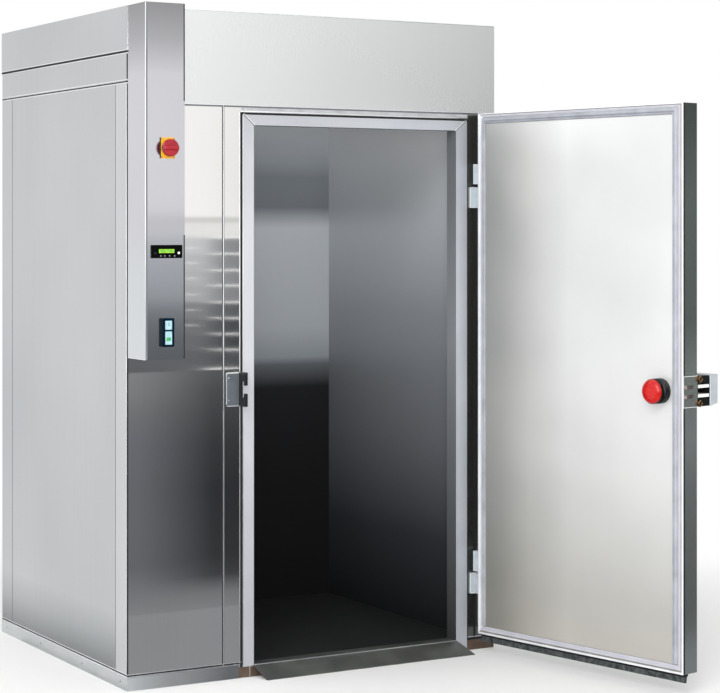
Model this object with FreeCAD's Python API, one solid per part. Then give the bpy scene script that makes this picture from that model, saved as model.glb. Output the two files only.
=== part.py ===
import FreeCAD, Part
import math
import os

# Roll-in blast chiller: an insulated cabinet for one trolley, with a control column on its
# front left corner, a fan baffle and evaporator on the left inside, and one full-height door.
#
# Everything is drawn in millimetres from the cabinet's front left floor corner: X to the
# right, Y from the front face to the back, Z up. save() then moves the origin to the middle
# of the footprint. Door pieces are drawn with the door shut, and swung() sets them open.

Vector = FreeCAD.Vector

# cabinet
width = 1495.0
depth = 1215.0
height = 2340.0
wall = 75.0
back_wall = 80.0
front_wall = 60.0
floor_top = 38.0
wall_top = 2081.0
roof_top = 2185.0
post_depth = 105.0
rear_post_front = 1105.0
joint_gap = 1.5
trim_thickness = 2.0
plinth_height = 50.0
plinth_front_end = 422.0

# doorway and its frame
opening_left = 482.0
opening_right = 1327.0
opening_top = 1943.0
frame_left = 438.0
frame_right = 1376.0
frame_top = 1983.0
frame_proud = 2.0
front_joint = 362.5
latch_jamb_right = 436.0
hinge_jamb_left = 1378.0
header_left = 445.0
header_right = 1353.0
frame_face_bottom = 2.0
ramp_sheet = 3.0
ramp_reach = 85.0
ramp_top_x = (478.0, 1330.0)
ramp_foot_x = (492.0, 1358.0)

# crown round the roof
crown_front_bottom = 2010.0
crown_front_proud = 4.0
crown_side_bottom = 2181.0
crown_flange = 30.0

# control column
column_width = 145.0
column_proud = 146.0
column_bottom = 1138.0
column_sheet = 1.5
switch_x = 81.5
switch_z = 1850.5
switch_plate_x = (55.0, 108.0)
switch_plate_z = (1815.0, 1886.0)
switch_plate_thickness = 3.0
spindle_radius = 6.0
spindle_bore = 11.0
dial_radius = 31.0
grip_height = 18.0
controller_x = (20.0, 134.5)
controller_z = (1479.5, 1524.0)
controller_proud = 4.0
display_x = (48.0, 105.0)
display_z = (1497.0, 1510.0)
station_x = (57.5, 98.5)
station_z = (1181.5, 1277.5)
station_proud = 18.0
push_key_x = (64.0, 88.5)
start_key_z = (1239.0, 1270.0)
stop_key_z = (1189.0, 1234.0)

# door, shut
door_left = 435.0
door_right = 1405.0
door_inner = -10.0
door_thickness = 77.0
door_bottom = 63.0
door_top = 1994.0
skin = 1.5
profile_free = 20.0
profile_hinge = 27.0
profile_top = 14.0
profile_bottom = 30.0
liner_face = -12.5
tray_rim = -14.0
gasket_width = 24.0
gasket_front = -2.5
sweep_y = (-44.0, -22.0)
sweep_side_gap = 5.0
sweep_holder_height = 9.0
sweep_drop = 31.0

# door hinges: the door climbs as it opens
hinge_x = 1416.0
hinge_y = -46.0
open_angle = 102.0
rise_per_radian = 6.0
frame_leaf_tops = (289.0, 1732.0)
frame_leaf_height = 76.0
door_leaf_height = 74.0
leaf_gap_shut = 1.0
frame_leaf_x = (1388.0, 1450.0)
frame_leaf_thickness = 8.0
door_leaf_right = 1442.0
door_leaf_y = (-78.0, -20.0)
knuckle_radius = 10.0
pin_radius = 6.0
running_clearance = 0.05

# latch and its keeper, heights from the latch's middle with the door shut
latch_z = 1016.0
latch_half_height = 52.0
bolt_low = 10.5
bolt_high = 21.5
slot_clearance = 0.5
bolt_nose = 9.0
bolt_y = (-64.0, -20.0)
latch_right = 645.0
latch_outer = -152.0
latch_recess_x = 472.0
latch_recess_half = 26.0
bridge_x = (480.0, 500.0)
strike_x = (373.0, 433.0)
strike_thickness = 3.0
hook_x = 422.0
hook_width = 9.0
handle_pivot_x = 622.0
handle_pivot_y = -176.5
handle_end_radius = 23.5
handle_pin_radius = 5.0
handle_y = (-200.0, -153.0)
handle_half_height = 54.0
handle_slant = 10.0
knob_x = 532.0
knob_radius = 41.5
knob_standoff = 30.0
knob_stem_radius = 20.0
collar_radius = 43.0
collar_height = 29.0
rod_radius = 5.0
rod_outer_end = -98.0

# evaporator side
coil_left = 110.0
coil_right = 325.0
coil_front = 140.0
coil_back = 1040.0
coil_bottom = 120.0
coil_top = 1960.0
baffle_x = 425.0
baffle_sheet = 2.0
baffle_front = 70.0
baffle_back = 1125.0
baffle_bottom = 110.0
baffle_top = 1990.0
baffle_flange = 38.0
baffle_pivot = (421.0, 1119.0)
pivot_radius = 5.0
fan_y = 598.0
fan_heights = (430.0, 1050.0, 1670.0)
fan_radius = 205.0
fan_hub_radius = 56.0
fan_hub_x = (374.0, 412.0)
fan_blades = 5
shaft_radius = 6.0
motor_radius = 52.0
motor_x = (338.0, 372.0)
cross_arm = 236.0
slot_rows = 9
slot_pitch = 42.0
slot_height = 24.0
slot_rib = 12.0

# pipes that leave through the roof, and the drain that leaves at the back
suction_xy = (180.0, 1076.0)
liquid_xy = (262.0, 1076.0)
suction_radius = 14.0
liquid_radius = 6.0
pipe_end = 2325.0
suction_stub = 80.0
liquid_stub = 60.0
pipe_swage = 1.0
drain_x = 220.0
drain_z = 68.0
drain_radius = 16.0
drain_end = 1262.0
drain_stub = 38.0

# how far a cutter runs past the piece that it cuts
past = 5.0

door_outer = door_inner - door_thickness
rise_at_rest = rise_per_radian * math.radians(open_angle)


def block(x0, x1, y0, y1, z0, z1):
    return Part.makeBox(x1 - x0, y1 - y0, z1 - z0, Vector(x0, y0, z0))


def rod(start, direction, radius, length):
    return Part.makeCylinder(radius, length, Vector(*start), Vector(*direction))


def flat(points, plane, start, thickness):
    """Extrude an outline. plane says which two axes the points are in."""
    at = {
        "xz": lambda p: Vector(p[0], start, p[1]),
        "yz": lambda p: Vector(start, p[0], p[1]),
        "xy": lambda p: Vector(p[0], p[1], start),
    }[plane]
    out = {
        "xz": Vector(0, thickness, 0),
        "yz": Vector(thickness, 0, 0),
        "xy": Vector(0, 0, thickness),
    }[plane]
    corners = [at(p) for p in points]
    wire = Part.makePolygon(corners + [corners[0]])
    return Part.Face(wire).extrude(out)


def rounded(shape, radius, axis):
    """Round the straight edges that run along one axis."""
    along = {"x": Vector(1, 0, 0), "y": Vector(0, 1, 0), "z": Vector(0, 0, 1)}[axis]
    edges = []
    for edge in shape.Edges:
        if not isinstance(edge.Curve, Part.Line):
            continue
        if abs(edge.Curve.Direction.dot(along)) > 0.999:
            edges.append(edge)
    return shape.makeFillet(radius, edges)


def eased(shape, size, face_test):
    """Chamfer every edge of the faces that pass the test."""
    edges = []
    for face in shape.Faces:
        if face_test(face):
            edges.extend(face.Edges)
    return shape.makeChamfer(size, edges)


def fused(shapes):
    whole = shapes[0].multiFuse(shapes[1:]) if len(shapes) > 1 else shapes[0]
    return whole.removeSplitter()


def turned(profile, centre, axis):
    """Revolve an outline of (radius, distance along the axis) about an axis."""
    points = [Vector(r, 0, h) for r, h in profile]
    face = Part.Face(Part.makePolygon(points + [points[0]]))
    solid = face.revolve(Vector(0, 0, 0), Vector(0, 0, 1), 360)
    solid.Placement = FreeCAD.Placement(
        Vector(*centre), FreeCAD.Rotation(Vector(0, 0, 1), Vector(*axis))
    )
    return solid


def swung(shape):
    """Set a door piece, drawn shut, at the open angle of the rest pose."""
    shape = shape.copy()
    shape.rotate(Vector(hinge_x, hinge_y, 0), Vector(0, 0, 1), open_angle)
    shape.translate(Vector(0, 0, rise_at_rest))
    return shape


def save(name, *shapes):
    solids = []
    for shape in shapes:
        solids.extend(shape.Solids)
    whole = solids[0].copy() if len(solids) == 1 else Part.makeCompound(solids)
    whole.translate(Vector(-width / 2, -depth / 2, 0))
    whole.exportStep("parts/" + name + ".step")
    print(name, len(solids), "valid" if whole.isValid() else "NOT VALID")


# ---------------------------------------------------------------- insulated panels


def make_panels():
    floor = block(0, width, 0, depth, 0, floor_top)
    pivot_bore = pivot_radius + running_clearance
    bore_depth = 12.0
    pivot_hole = rod((*baffle_pivot, floor_top - bore_depth), (0, 0, 1), pivot_bore, bore_depth + past)
    save("floor_panel", floor.cut(pivot_hole))

    left = block(0, wall, post_depth, rear_post_front, floor_top, wall_top)
    save("left_wall_panel", inset_edges(left, "x"))
    right = block(width - wall, width, post_depth, rear_post_front, floor_top, wall_top)
    save("right_wall_panel", inset_edges(right, "x"))
    back = block(wall, width - wall, depth - back_wall, depth, floor_top, wall_top)
    hole_start = depth - back_wall - past
    hole = rod((drain_x, hole_start, drain_z), (0, 1, 0), drain_radius + 1, back_wall + 2 * past)
    save("back_wall_panel", inset_edges(back, "y").cut(hole))

    front_left = [
        (0, 0),
        (front_joint - joint_gap / 2, 0),
        (front_joint - joint_gap / 2, front_wall),
        (wall, front_wall),
        (wall, post_depth),
        (0, post_depth),
    ]
    save("front_left_panel", flat(front_left, "xy", floor_top, wall_top - floor_top))
    rear_left = block(0, wall, rear_post_front, depth, floor_top, wall_top)
    rear_right = block(width - wall, width, rear_post_front, depth, floor_top, wall_top)
    save("rear_posts", rear_left, rear_right)

    # the jamb panels widen above the door frame to meet the header panel
    step = frame_top + joint_gap
    jamb = front_joint + joint_gap / 2
    latch_jamb = [
        (jamb, floor_top),
        (latch_jamb_right, floor_top),
        (latch_jamb_right, step),
        (header_left - joint_gap / 2, step),
        (header_left - joint_gap / 2, wall_top),
        (jamb, wall_top),
    ]
    save("latch_jamb_panel", flat(latch_jamb, "xz", 0, front_wall))
    corner = width - wall
    hinge_jamb = [
        (hinge_jamb_left, floor_top),
        (corner, floor_top),
        (corner, wall_top),
        (header_right + joint_gap / 2, wall_top),
        (header_right + joint_gap / 2, step),
        (hinge_jamb_left, step),
    ]
    corner_post = block(corner, width, 0, post_depth, floor_top, wall_top)
    save("hinge_jamb_panel", flat(hinge_jamb, "xz", 0, front_wall), corner_post)
    header_x = (header_left + joint_gap / 2, header_right - joint_gap / 2)
    save("header_panel", block(*header_x, 0, front_wall, step, wall_top))

    roof = block(0, width, 0, depth, wall_top, roof_top)
    for (x, y), radius in ((suction_xy, suction_radius), (liquid_xy, liquid_radius)):
        roof = roof.cut(rod((x, y, wall_top - past), (0, 0, 1), radius + 1, 120))
    roof = roof.cut(rod((*baffle_pivot, wall_top - past), (0, 0, 1), pivot_bore, bore_depth + past))
    save("roof_panel", roof)


def inset_edges(panel, axis):
    """A shallow chamfer round a panel, which makes the line between two panels."""

    def outer(face):
        centre = face.CenterOfMass
        at = centre.x if axis == "x" else centre.y
        far = width if axis == "x" else depth
        return at < 0.01 or at > far - 0.01

    return eased(panel, joint_gap / 2, outer)


def make_trim():
    """Plinth strips round three sides and up to the doorway, past which the floor's edge is bare."""
    t = trim_thickness
    strips = [
        block(-t, 0, -t, depth + t, 0, plinth_height),
        block(width, width + t, 0, depth + t, 0, plinth_height),
        block(0, plinth_front_end, -t, 0, 0, plinth_height),
        block(0, width, depth, depth + t, 0, plinth_height),
    ]
    save("plinth_trim", *strips)


def make_crown():
    t = trim_thickness
    y = -crown_front_proud
    front = [
        block(column_width, width + t, y, y + t, crown_front_bottom, height),
        block(column_width, width + t, y, 0, crown_front_bottom, crown_front_bottom + t),
        block(column_width, width, y, crown_flange, height - t, height),
        block(width, width + t, y, 0, crown_front_bottom, height),
    ]
    save("crown_front", fused(front))

    def open_ring(outer, inner, low, high, front):
        """A frame round three sides, open at the front."""
        whole = block(-outer, width + outer, front, depth + outer, low, high)
        return whole.cut(block(inner, width - inner, -past, depth - inner, low - past, high + past))

    surround = [
        open_ring(t, 0, crown_side_bottom, height, 0),
        open_ring(t, crown_flange, roof_top, roof_top + t, crown_flange),
        open_ring(t, crown_flange, height - t, height, crown_flange),
    ]
    save("crown_surround", fused(surround))


# ---------------------------------------------------------------- doorway


def make_door_frame():
    """Three mitred lengths. The hinge side's thin face laps down past the floor panel."""

    def left_outline(bottom):
        return [
            (frame_left, bottom),
            (opening_left, bottom),
            (opening_left, opening_top),
            (frame_left, frame_top),
        ]

    def right_outline(bottom):
        return [
            (opening_right, bottom),
            (frame_right, bottom),
            (frame_right, frame_top),
            (opening_right, opening_top),
        ]

    head_outline = [
        (frame_left, frame_top),
        (opening_left, opening_top),
        (opening_right, opening_top),
        (frame_right, frame_top),
    ]
    lengths = []
    for outline, face_bottom in ((left_outline, floor_top), (right_outline, frame_face_bottom)):
        body = flat(outline(floor_top), "xz", 0, front_wall)
        face = flat(outline(face_bottom), "xz", -frame_proud, frame_proud)
        lengths.append(fused([body, face]))
    lengths.append(flat(head_outline, "xz", -frame_proud, front_wall + frame_proud))
    save("door_frame", *lengths)


def make_ramp():
    """One folded sheet: a sill over the threshold, and a slope down to the floor."""
    top = floor_top + ramp_sheet
    sill = block(opening_left, opening_right, -frame_proud, front_wall, floor_top, top)
    corners = [Vector(x, -frame_proud, top) for x in ramp_top_x]
    corners += [Vector(x, -ramp_reach, ramp_sheet) for x in reversed(ramp_foot_x)]
    slope = Part.Face(Part.makePolygon(corners + [corners[0]]))
    slope = slope.extrude(Vector(0, 0, -ramp_sheet))
    save("ramp", fused([sill, slope]))


def make_strike():
    corner_radius = 7.0
    plate = block(*strike_x, -strike_thickness, 0, latch_z - 59, latch_z + 57)
    left_edges = []
    for edge in plate.Edges:
        across = abs(edge.Curve.Direction.y) > 0.999
        if across and edge.CenterOfMass.x < strike_x[0] + 1:
            left_edges.append(edge)
    save("strike_plate", plate.makeFillet(corner_radius, left_edges))

    # two hooks on one web, which catch the bolt noses from in front
    web_reach = -16.0
    arm_reach = -54.0
    lug_start = -40.0
    arm_outer = 60.0
    arm_inner = 29.0
    lug_inner = 14.0
    outline = [(-strike_thickness, arm_outer), (arm_reach, arm_outer), (arm_reach, lug_inner)]
    outline += [(lug_start, lug_inner), (lug_start, arm_inner), (web_reach, arm_inner)]
    mirror = [(y, -z) for y, z in reversed(outline)]
    points = [(y, latch_z + z) for y, z in outline + mirror]
    hooks = flat(points, "yz", hook_x, hook_width)
    save("strike_hooks", rounded(hooks, 3.5, "x"))


# ---------------------------------------------------------------- control column


def make_column():
    s = column_sheet
    front = -column_proud
    outside = block(0, column_width, front, 0, column_bottom, height)
    inside = block(s, column_width - s, front + s, past, column_bottom + s, height - s)
    shell = outside.cut(inside)
    lip = 2.0
    for x, z in ((controller_x, controller_z), (station_x, station_z)):
        cutter = block(x[0] + lip, x[1] - lip, front - past, front + past, z[0] + lip, z[1] - lip)
        shell = shell.cut(cutter)
    spindle_hole = rod((switch_x, front - past, switch_z), (0, 1, 0), spindle_bore, 3 * past)
    save("control_column", shell.cut(spindle_hole))

    plate_face = front - switch_plate_thickness
    plate = block(*switch_plate_x, plate_face, front, *switch_plate_z)
    save("switch_plate", rounded(plate.cut(spindle_hole), 3, "y"))
    make_dial(plate_face - 0.5)
    make_controller(front)
    make_station(front)


def make_dial(y):
    """Round skirt with a raised grip across it, on a spindle that passes through the plate."""
    centre = (switch_x, y, switch_z)
    skirt_edge = 8.0
    skirt_top = 13.0
    grip_top = 33.0
    profile = [(0, 0), (dial_radius, 0), (dial_radius, skirt_edge)]
    profile += [(dial_radius - 3, skirt_top), (0, skirt_top)]
    skirt = turned(profile, centre, (0, -1, 0))
    half = grip_height / 2
    reach = dial_radius - 1
    grip = block(switch_x - reach, switch_x + reach, y - grip_top, y - 10, switch_z - half, switch_z + half)
    grip = rounded(grip, 6, "y").common(rod(centre, (0, -1, 0), reach, 40))
    spindle = rod((switch_x, y - 2, switch_z), (0, 1, 0), spindle_radius, 42)
    save("switch_dial", fused([skirt, grip, spindle]))


def make_controller(front):
    """Panel controller: a bezel with a window and six round keys, and its board behind."""
    body_depth = 14.0
    body_inset = 2.5
    key_clearance = 0.4
    key_length = 15.6
    key_proud = 1.8
    face = front - controller_proud
    bezel = rounded(block(*controller_x, face, front, *controller_z), 3, "y")
    body = block(
        controller_x[0] + body_inset,
        controller_x[1] - body_inset,
        front,
        front + body_depth,
        controller_z[0] + body_inset,
        controller_z[1] - body_inset,
    )
    bezel = bezel.fuse(body)
    bezel = bezel.cut(block(*display_x, face - past, front - 1, *display_z))
    save("controller_display", block(*display_x, face + 0.6, front - 1, *display_z))
    keys = {
        "key_standby": (121.0, 1497.0, 4.2),
        "key_light": (34.0, 1496.5, 4.6),
        "key_cycle": (55.0, 1487.2, 2.8),
        "key_down": (69.0, 1487.2, 2.8),
        "key_up": (87.0, 1487.2, 2.8),
        "key_set": (105.5, 1487.2, 2.8),
    }
    for name, (x, z, radius) in keys.items():
        bezel = bezel.cut(rod((x, face - past, z), (0, 1, 0), radius + key_clearance, 40))
        profile = [(0, 0), (radius, 0), (radius, key_length - 0.6)]
        profile += [(radius - 0.6, key_length), (0, key_length)]
        back = face - key_proud + key_length
        save(name, turned(profile, (x, back, z), (0, -1, 0)))
    save("controller_bezel", bezel)

    board_y = front + 18
    board = block(28, 131, board_y, board_y + 2, 1452, 1546)
    transformer = block(40, 72, board_y + 2, board_y + 24, 1510, 1538)
    relays = block(84, 120, board_y + 2, board_y + 18, 1500, 1532)
    terminals = block(36, 124, board_y + 2, board_y + 14, 1456, 1472)
    save("control_board", fused([board, transformer, relays, terminals]))


def make_station(front):
    """Two push keys in a deep surround on the lower column."""
    body_depth = 30.0
    body_inset = 2.8
    gap = 0.5
    key_proud = 3.5
    face = front - station_proud
    bezel = rounded(block(*station_x, face, front, *station_z), 3, "y")
    body = block(
        station_x[0] + body_inset,
        station_x[1] - body_inset,
        front,
        front + body_depth,
        station_z[0] + body_inset,
        station_z[1] - body_inset,
    )
    bezel = bezel.fuse(body)
    left, right = push_key_x
    for name, (low, high) in (("start_key", start_key_z), ("stop_key", stop_key_z)):
        bezel = bezel.cut(block(left, right, face - past, front + body_depth + past, low, high))
        key = block(left + gap, right - gap, face - key_proud, front + 12, low + gap, high - gap)
        save(name, rounded(key, 1.5, "y"))
    save("station_bezel", bezel)


# ---------------------------------------------------------------- hinges


def make_hinges():
    """Lift-off hinges: a leaf on the frame, a leaf on the door above it, and a pin in both."""
    frame_leaves = []
    door_leaves = []
    pins = []
    bore = pin_radius + running_clearance
    bore_start = 12.0
    pin_start = 24.0
    for top in frame_leaf_tops:
        bottom = top - frame_leaf_height
        flange = block(*frame_leaf_x, -frame_leaf_thickness, 0, bottom, top)
        web_x = (hinge_x - knuckle_radius, hinge_x + knuckle_radius)
        web = block(*web_x, hinge_y, 4 - frame_leaf_thickness, bottom, top)
        knuckle = rod((hinge_x, hinge_y, bottom), (0, 0, 1), knuckle_radius, frame_leaf_height)
        pin_hole = rod((hinge_x, hinge_y, bottom + bore_start), (0, 0, 1), bore, frame_leaf_height)
        frame_leaves.append(fused([flange, web, knuckle]).cut(pin_hole))

        low = top + leaf_gap_shut
        high = low + door_leaf_height
        leaf = rounded(block(door_right, door_leaf_right, *door_leaf_y, low, high), 5, "z")
        pin_hole = rod((hinge_x, hinge_y, low - past), (0, 0, 1), bore, door_leaf_height - past)
        door_leaves.append(swung(leaf.cut(pin_hole)))

        pin_bottom = bottom + pin_start
        pin_length = high - bore_start - pin_bottom
        pin_bottom += rise_at_rest
        pins.append(rod((hinge_x, hinge_y, pin_bottom), (0, 0, 1), pin_radius, pin_length))
    save("hinge_frame_leaves", *frame_leaves)
    save("hinge_door_leaves", *door_leaves)
    save("hinge_pins", *pins)


# ---------------------------------------------------------------- door


def bolt_heights():
    """Bottom and top of the upper bolt and of the lower one, with the door shut."""
    upper = (latch_z + bolt_low, latch_z + bolt_high)
    lower = (latch_z - bolt_high, latch_z - bolt_low)
    return upper, lower


def latch_slots():
    """The two slots in the door's free edge that the bolts slide through."""
    c = slot_clearance
    x = (door_left - 10, door_left + 8)
    y = (bolt_y[0] - c, bolt_y[1] + c)
    return [block(*x, *y, low - c, high + c) for low, high in bolt_heights()]


def rod_hole(y0, y1, clearance):
    return rod((knob_x, y0, latch_z), (0, 1, 0), rod_radius + clearance, y1 - y0)


def is_front(face):
    """The flat front of a door piece, on the side that meets the cabinet."""
    return face.BoundBox.YLength < 0.01 and face.normalAt(0, 0).y > 0.9


def make_door():
    edges = (door_left, door_right)
    inner_edges = (door_left + skin, door_right - skin)
    heights = (door_bottom, door_top)
    inner_heights = (door_bottom + skin, door_top - skin)
    shell = rounded(block(*edges, door_outer, tray_rim, *heights), 2, "z")
    tray = shell.cut(block(*inner_edges, door_outer + skin, 0, *inner_heights))
    tray = tray.cut(rod_hole(door_outer - past, tray_rim, 1))
    for slot in latch_slots():
        tray = tray.cut(slot)
    save("door_outer_skin", swung(tray))

    core = block(*inner_edges, door_outer + skin, tray_rim, *inner_heights)
    bolt_pocket = block(
        door_left,
        bridge_x[1] + 12,
        bolt_y[0] - 4,
        bolt_y[1] + 3,
        latch_z - latch_recess_half,
        latch_z + latch_recess_half,
    )
    save("door_core", swung(core.cut(bolt_pocket).cut(rod_hole(door_outer, 0, 1))))

    inner_x = (door_left + profile_free, door_right - profile_hinge)
    inner_z = (door_bottom + profile_bottom, door_top - profile_top)
    liner = block(*inner_x, tray_rim, liner_face, *inner_z)
    save("door_inner_liner", swung(liner.cut(rod_hole(tray_rim - past, 0, 1))))

    ring = block(*edges, tray_rim, door_inner, *heights)
    ring = ring.cut(block(*inner_x, tray_rim - past, past, *inner_z))
    save("door_edge_profile", swung(eased(ring, 1.2, is_front)))

    # the gasket runs up both sides and over the top; the sweep seals the bottom
    low = inner_z[0] + 4
    high = frame_top - 4
    left = inner_x[0] + 1
    right = inner_x[1] - 1
    outside = [(left, low), (left, high), (right, high), (right, low)]
    inside = [
        (right - gasket_width, low),
        (right - gasket_width, high - gasket_width),
        (left + gasket_width, high - gasket_width),
        (left + gasket_width, low),
    ]
    gasket = flat(outside + inside, "xz", liner_face, gasket_front - liner_face)
    save("door_gasket", swung(eased(gasket, 3, is_front)))

    sweep_x = (door_left + sweep_side_gap, door_right - sweep_side_gap)
    holder_bottom = door_bottom - sweep_holder_height
    holder = block(*sweep_x, *sweep_y, holder_bottom, door_bottom)
    save("sweep_holder", swung(holder))
    blade = [
        (sweep_y[0] + 4, holder_bottom),
        (sweep_y[1] - 2, holder_bottom),
        (sweep_y[1] - 5, door_bottom - sweep_drop + 1),
        (sweep_y[0] + 8, door_bottom - sweep_drop),
    ]
    save("sweep_rubber", swung(flat(blade, "yz", sweep_x[0], sweep_x[1] - sweep_x[0])))


def make_latch():
    z0 = latch_z - latch_half_height
    z1 = latch_z + latch_half_height
    end = door_left - skin
    edge_plate = block(end, door_left, door_outer, tray_rim, z0, z1)
    for slot in latch_slots():
        edge_plate = edge_plate.cut(slot)
    save("latch_edge_plate", swung(edge_plate))

    # body: open at its free end for the two bars, with a lug and pin for the handle
    bar_y = (latch_outer + 2, door_outer - 2)
    lug_half = 15.0
    pin_half = 44.0
    body = rounded(block(end, latch_right, latch_outer, door_outer, z0, z1), 4, "x")
    recess_z = (latch_z - latch_recess_half, latch_z + latch_recess_half)
    recess = block(end - past, latch_recess_x, *bar_y, *recess_z)
    lug_x = (handle_pivot_x - 18, handle_pivot_x + 18)
    lug_y = (handle_pivot_y - 14, latch_outer + 11)
    lug = block(*lug_x, *lug_y, latch_z - lug_half, latch_z + lug_half)
    pin_start = (handle_pivot_x, handle_pivot_y, latch_z - pin_half)
    pin = rod(pin_start, (0, 0, 1), handle_pin_radius, 2 * pin_half)
    body = fused([body.cut(recess), rounded(lug, 8, "z"), pin])
    save("latch_body", swung(body.cut(rod_hole(rod_outer_end - 18, door_outer + 1, 1))))

    bars = [block(end + 0.5, latch_recess_x, *bar_y, low, high) for low, high in bolt_heights()]
    boss_y = door_outer - 6
    boss_half = 11.0
    boss_depth = 8.0
    for z in (latch_z - 41, latch_z + 41):
        diamond = [
            (boss_y - boss_half, z),
            (boss_y, z - boss_half),
            (boss_y + boss_half, z),
            (boss_y, z + boss_half),
        ]
        boss = flat(diamond, "yz", end - boss_depth, boss_depth)
        bars.append(eased(boss, 2.5, lambda face: face.CenterOfMass.x < end - boss_depth + 0.1))
    save("latch_bars", *[swung(bar) for bar in bars])

    # grip: a deep grey bar over the whole body, slanted at its foot and forked round the lug
    grip_z = (latch_z - handle_half_height, latch_z + handle_half_height)
    grip = block(door_left - 2, handle_pivot_x, *handle_y, *grip_z)
    pivot = (handle_pivot_x, handle_pivot_y)
    eye = rod((*pivot, grip_z[0]), (0, 0, 1), handle_end_radius, 2 * handle_half_height)
    fork_x = (handle_pivot_x - 26, handle_pivot_x + handle_end_radius + past)
    fork_y = (handle_y[0] - past, handle_y[1] + past)
    fork = block(*fork_x, *fork_y, latch_z - lug_half - 0.6, latch_z + lug_half + 0.6)
    bore = handle_pin_radius + running_clearance
    pin_hole_half = pin_half + 0.6
    pin_hole = rod((*pivot, latch_z - pin_hole_half), (0, 0, 1), bore, 2 * pin_hole_half)
    inner_y, outer_y = handle_y[1], handle_y[0]
    slant = [
        (inner_y, grip_z[0]),
        (outer_y, grip_z[0] + handle_slant),
        (outer_y, grip_z[0]),
    ]
    slant_end = handle_pivot_x + handle_end_radius + past
    slant = flat(slant, "yz", door_left - past, slant_end - door_left + past)
    grip = fused([grip, eye]).cut(fork).cut(pin_hole).cut(slant)
    grip = eased(grip, 5, lambda face: face.CenterOfMass.y < outer_y + 0.1 and face.Area > 5000)
    save("latch_handle", swung(grip))

    # two bolts on one bridge; only the inner end of each has a nose that stands out
    pieces = [block(*bridge_x, *bolt_y, latch_z - bolt_high, latch_z + bolt_high)]
    nose_end = end - bolt_nose
    back = bolt_y[1]
    nose = [
        (nose_end, back),
        (end + 5, back),
        (end + 5, back - 17),
        (nose_end + 5, back - 17),
        (nose_end, back - 10),
    ]
    for low, high in bolt_heights():
        pieces.append(block(end + 0.2, bridge_x[1] - 10, *bolt_y, low, high))
        pieces.append(flat(nose, "xy", low, high - low))
    save("latch_bolts", swung(fused(pieces)))


def make_release():
    """Mushroom knob inside the door and the rod that carries its push to the latch."""
    # the collar has a well that the knob's stem sinks into
    well_radius = knob_stem_radius + 2
    well_floor = 10.0
    collar = [
        (9, 0),
        (collar_radius, 0),
        (collar_radius, collar_height - 4),
        (collar_radius - 5, collar_height),
        (well_radius, collar_height),
        (well_radius, well_floor),
        (9, well_floor),
    ]
    save("knob_collar", swung(turned(collar, (knob_x, liner_face, latch_z), (0, 1, 0))))
    head = [
        (0, 0),
        (knob_stem_radius, 0),
        (knob_stem_radius, 9),
        (knob_radius - 3, 9),
        (knob_radius, 14),
        (knob_radius - 1, 22),
        (knob_radius - 8, 29),
        (knob_radius - 21, 33),
        (0, 34),
    ]
    knob_back = liner_face + knob_standoff
    save("emergency_knob", swung(turned(head, (knob_x, knob_back, latch_z), (0, 1, 0))))
    push_rod = rod((knob_x, rod_outer_end, latch_z), (0, 1, 0), rod_radius, knob_back - rod_outer_end)
    save("release_rod", swung(push_rod))


# ---------------------------------------------------------------- evaporator side


def make_evaporator():
    coil_x = (coil_left, coil_right)
    end_plate = 3.0
    fins = block(*coil_x, coil_front, coil_back, coil_bottom, coil_top)
    end_z = (floor_top + 2, coil_top + 10)
    front_plate = block(*coil_x, coil_front - end_plate, coil_front, *end_z)
    back_plate = block(*coil_x, coil_back, coil_back + end_plate, *end_z)
    save("evaporator_coil", fins, front_plate, back_plate)

    margin = 15.0
    sheet = 2.0
    tray_top = 92.0
    tray_back = coil_back + 28
    tray_x = (coil_left - margin, coil_right + 20)
    outer = block(*tray_x, coil_front - 28, tray_back, floor_top, tray_top)
    inner = block(
        tray_x[0] + sheet,
        tray_x[1] - sheet,
        coil_front - 28 + sheet,
        tray_back - sheet,
        floor_top + sheet,
        tray_top + past,
    )
    bore = rod((drain_x, tray_back - past, drain_z), (0, 1, 0), drain_radius - 3, drain_end)
    tray = outer.cut(inner).cut(bore)
    stub_start = drain_end - drain_stub
    spout = rod((drain_x, tray_back, drain_z), (0, 1, 0), drain_radius - 1, stub_start - tray_back)
    stub = rod((drain_x, stub_start, drain_z), (0, 1, 0), drain_radius, drain_stub)
    save("drip_tray", tray, fused([spout, stub]).cut(bore))

    # each riser ends in a swaged stub above the roof, and the liquid one carries its valve
    liquid_x, liquid_y = liquid_xy
    half = 16.0
    valve = block(liquid_x - half, liquid_x + half, liquid_y - half, liquid_y + half, 1700, 1760)
    pipes = [rounded(valve, 5, "z")]
    risers = (
        (suction_xy, 220, suction_radius, suction_stub),
        (liquid_xy, 1560, liquid_radius, liquid_stub),
    )
    for centre, low, radius, stub in risers:
        neck = pipe_end - stub
        pipes.append(rod((*centre, low), (0, 0, 1), radius - pipe_swage, neck - low))
        pipes.append(rod((*centre, neck), (0, 0, 1), radius, stub))
    branch_start = coil_back + end_plate
    branch = suction_xy[1] - branch_start
    for z in (320, 720, 1120, 1520, 1860):
        pipes.append(rod((suction_xy[0], branch_start, z), (0, 1, 0), 8, branch))
    for z in (1590, 1650):
        pipes.append(rod((liquid_x, branch_start, z), (0, 1, 0), 5, branch))
    save("refrigerant_pipes", fused(pipes))


def make_junction_box():
    right = 640.0
    gland_z = roof_top + 45
    box = rounded(block(420, right, 380, 560, roof_top, roof_top + 95), 6, "z")
    profile = [(0, 0), (14, 0), (14, 12), (10, 16), (10, 24), (0, 24)]
    gland = turned(profile, (right, 470, gland_z), (1, 0, 0))
    save("junction_box", fused([box, gland]))


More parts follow.
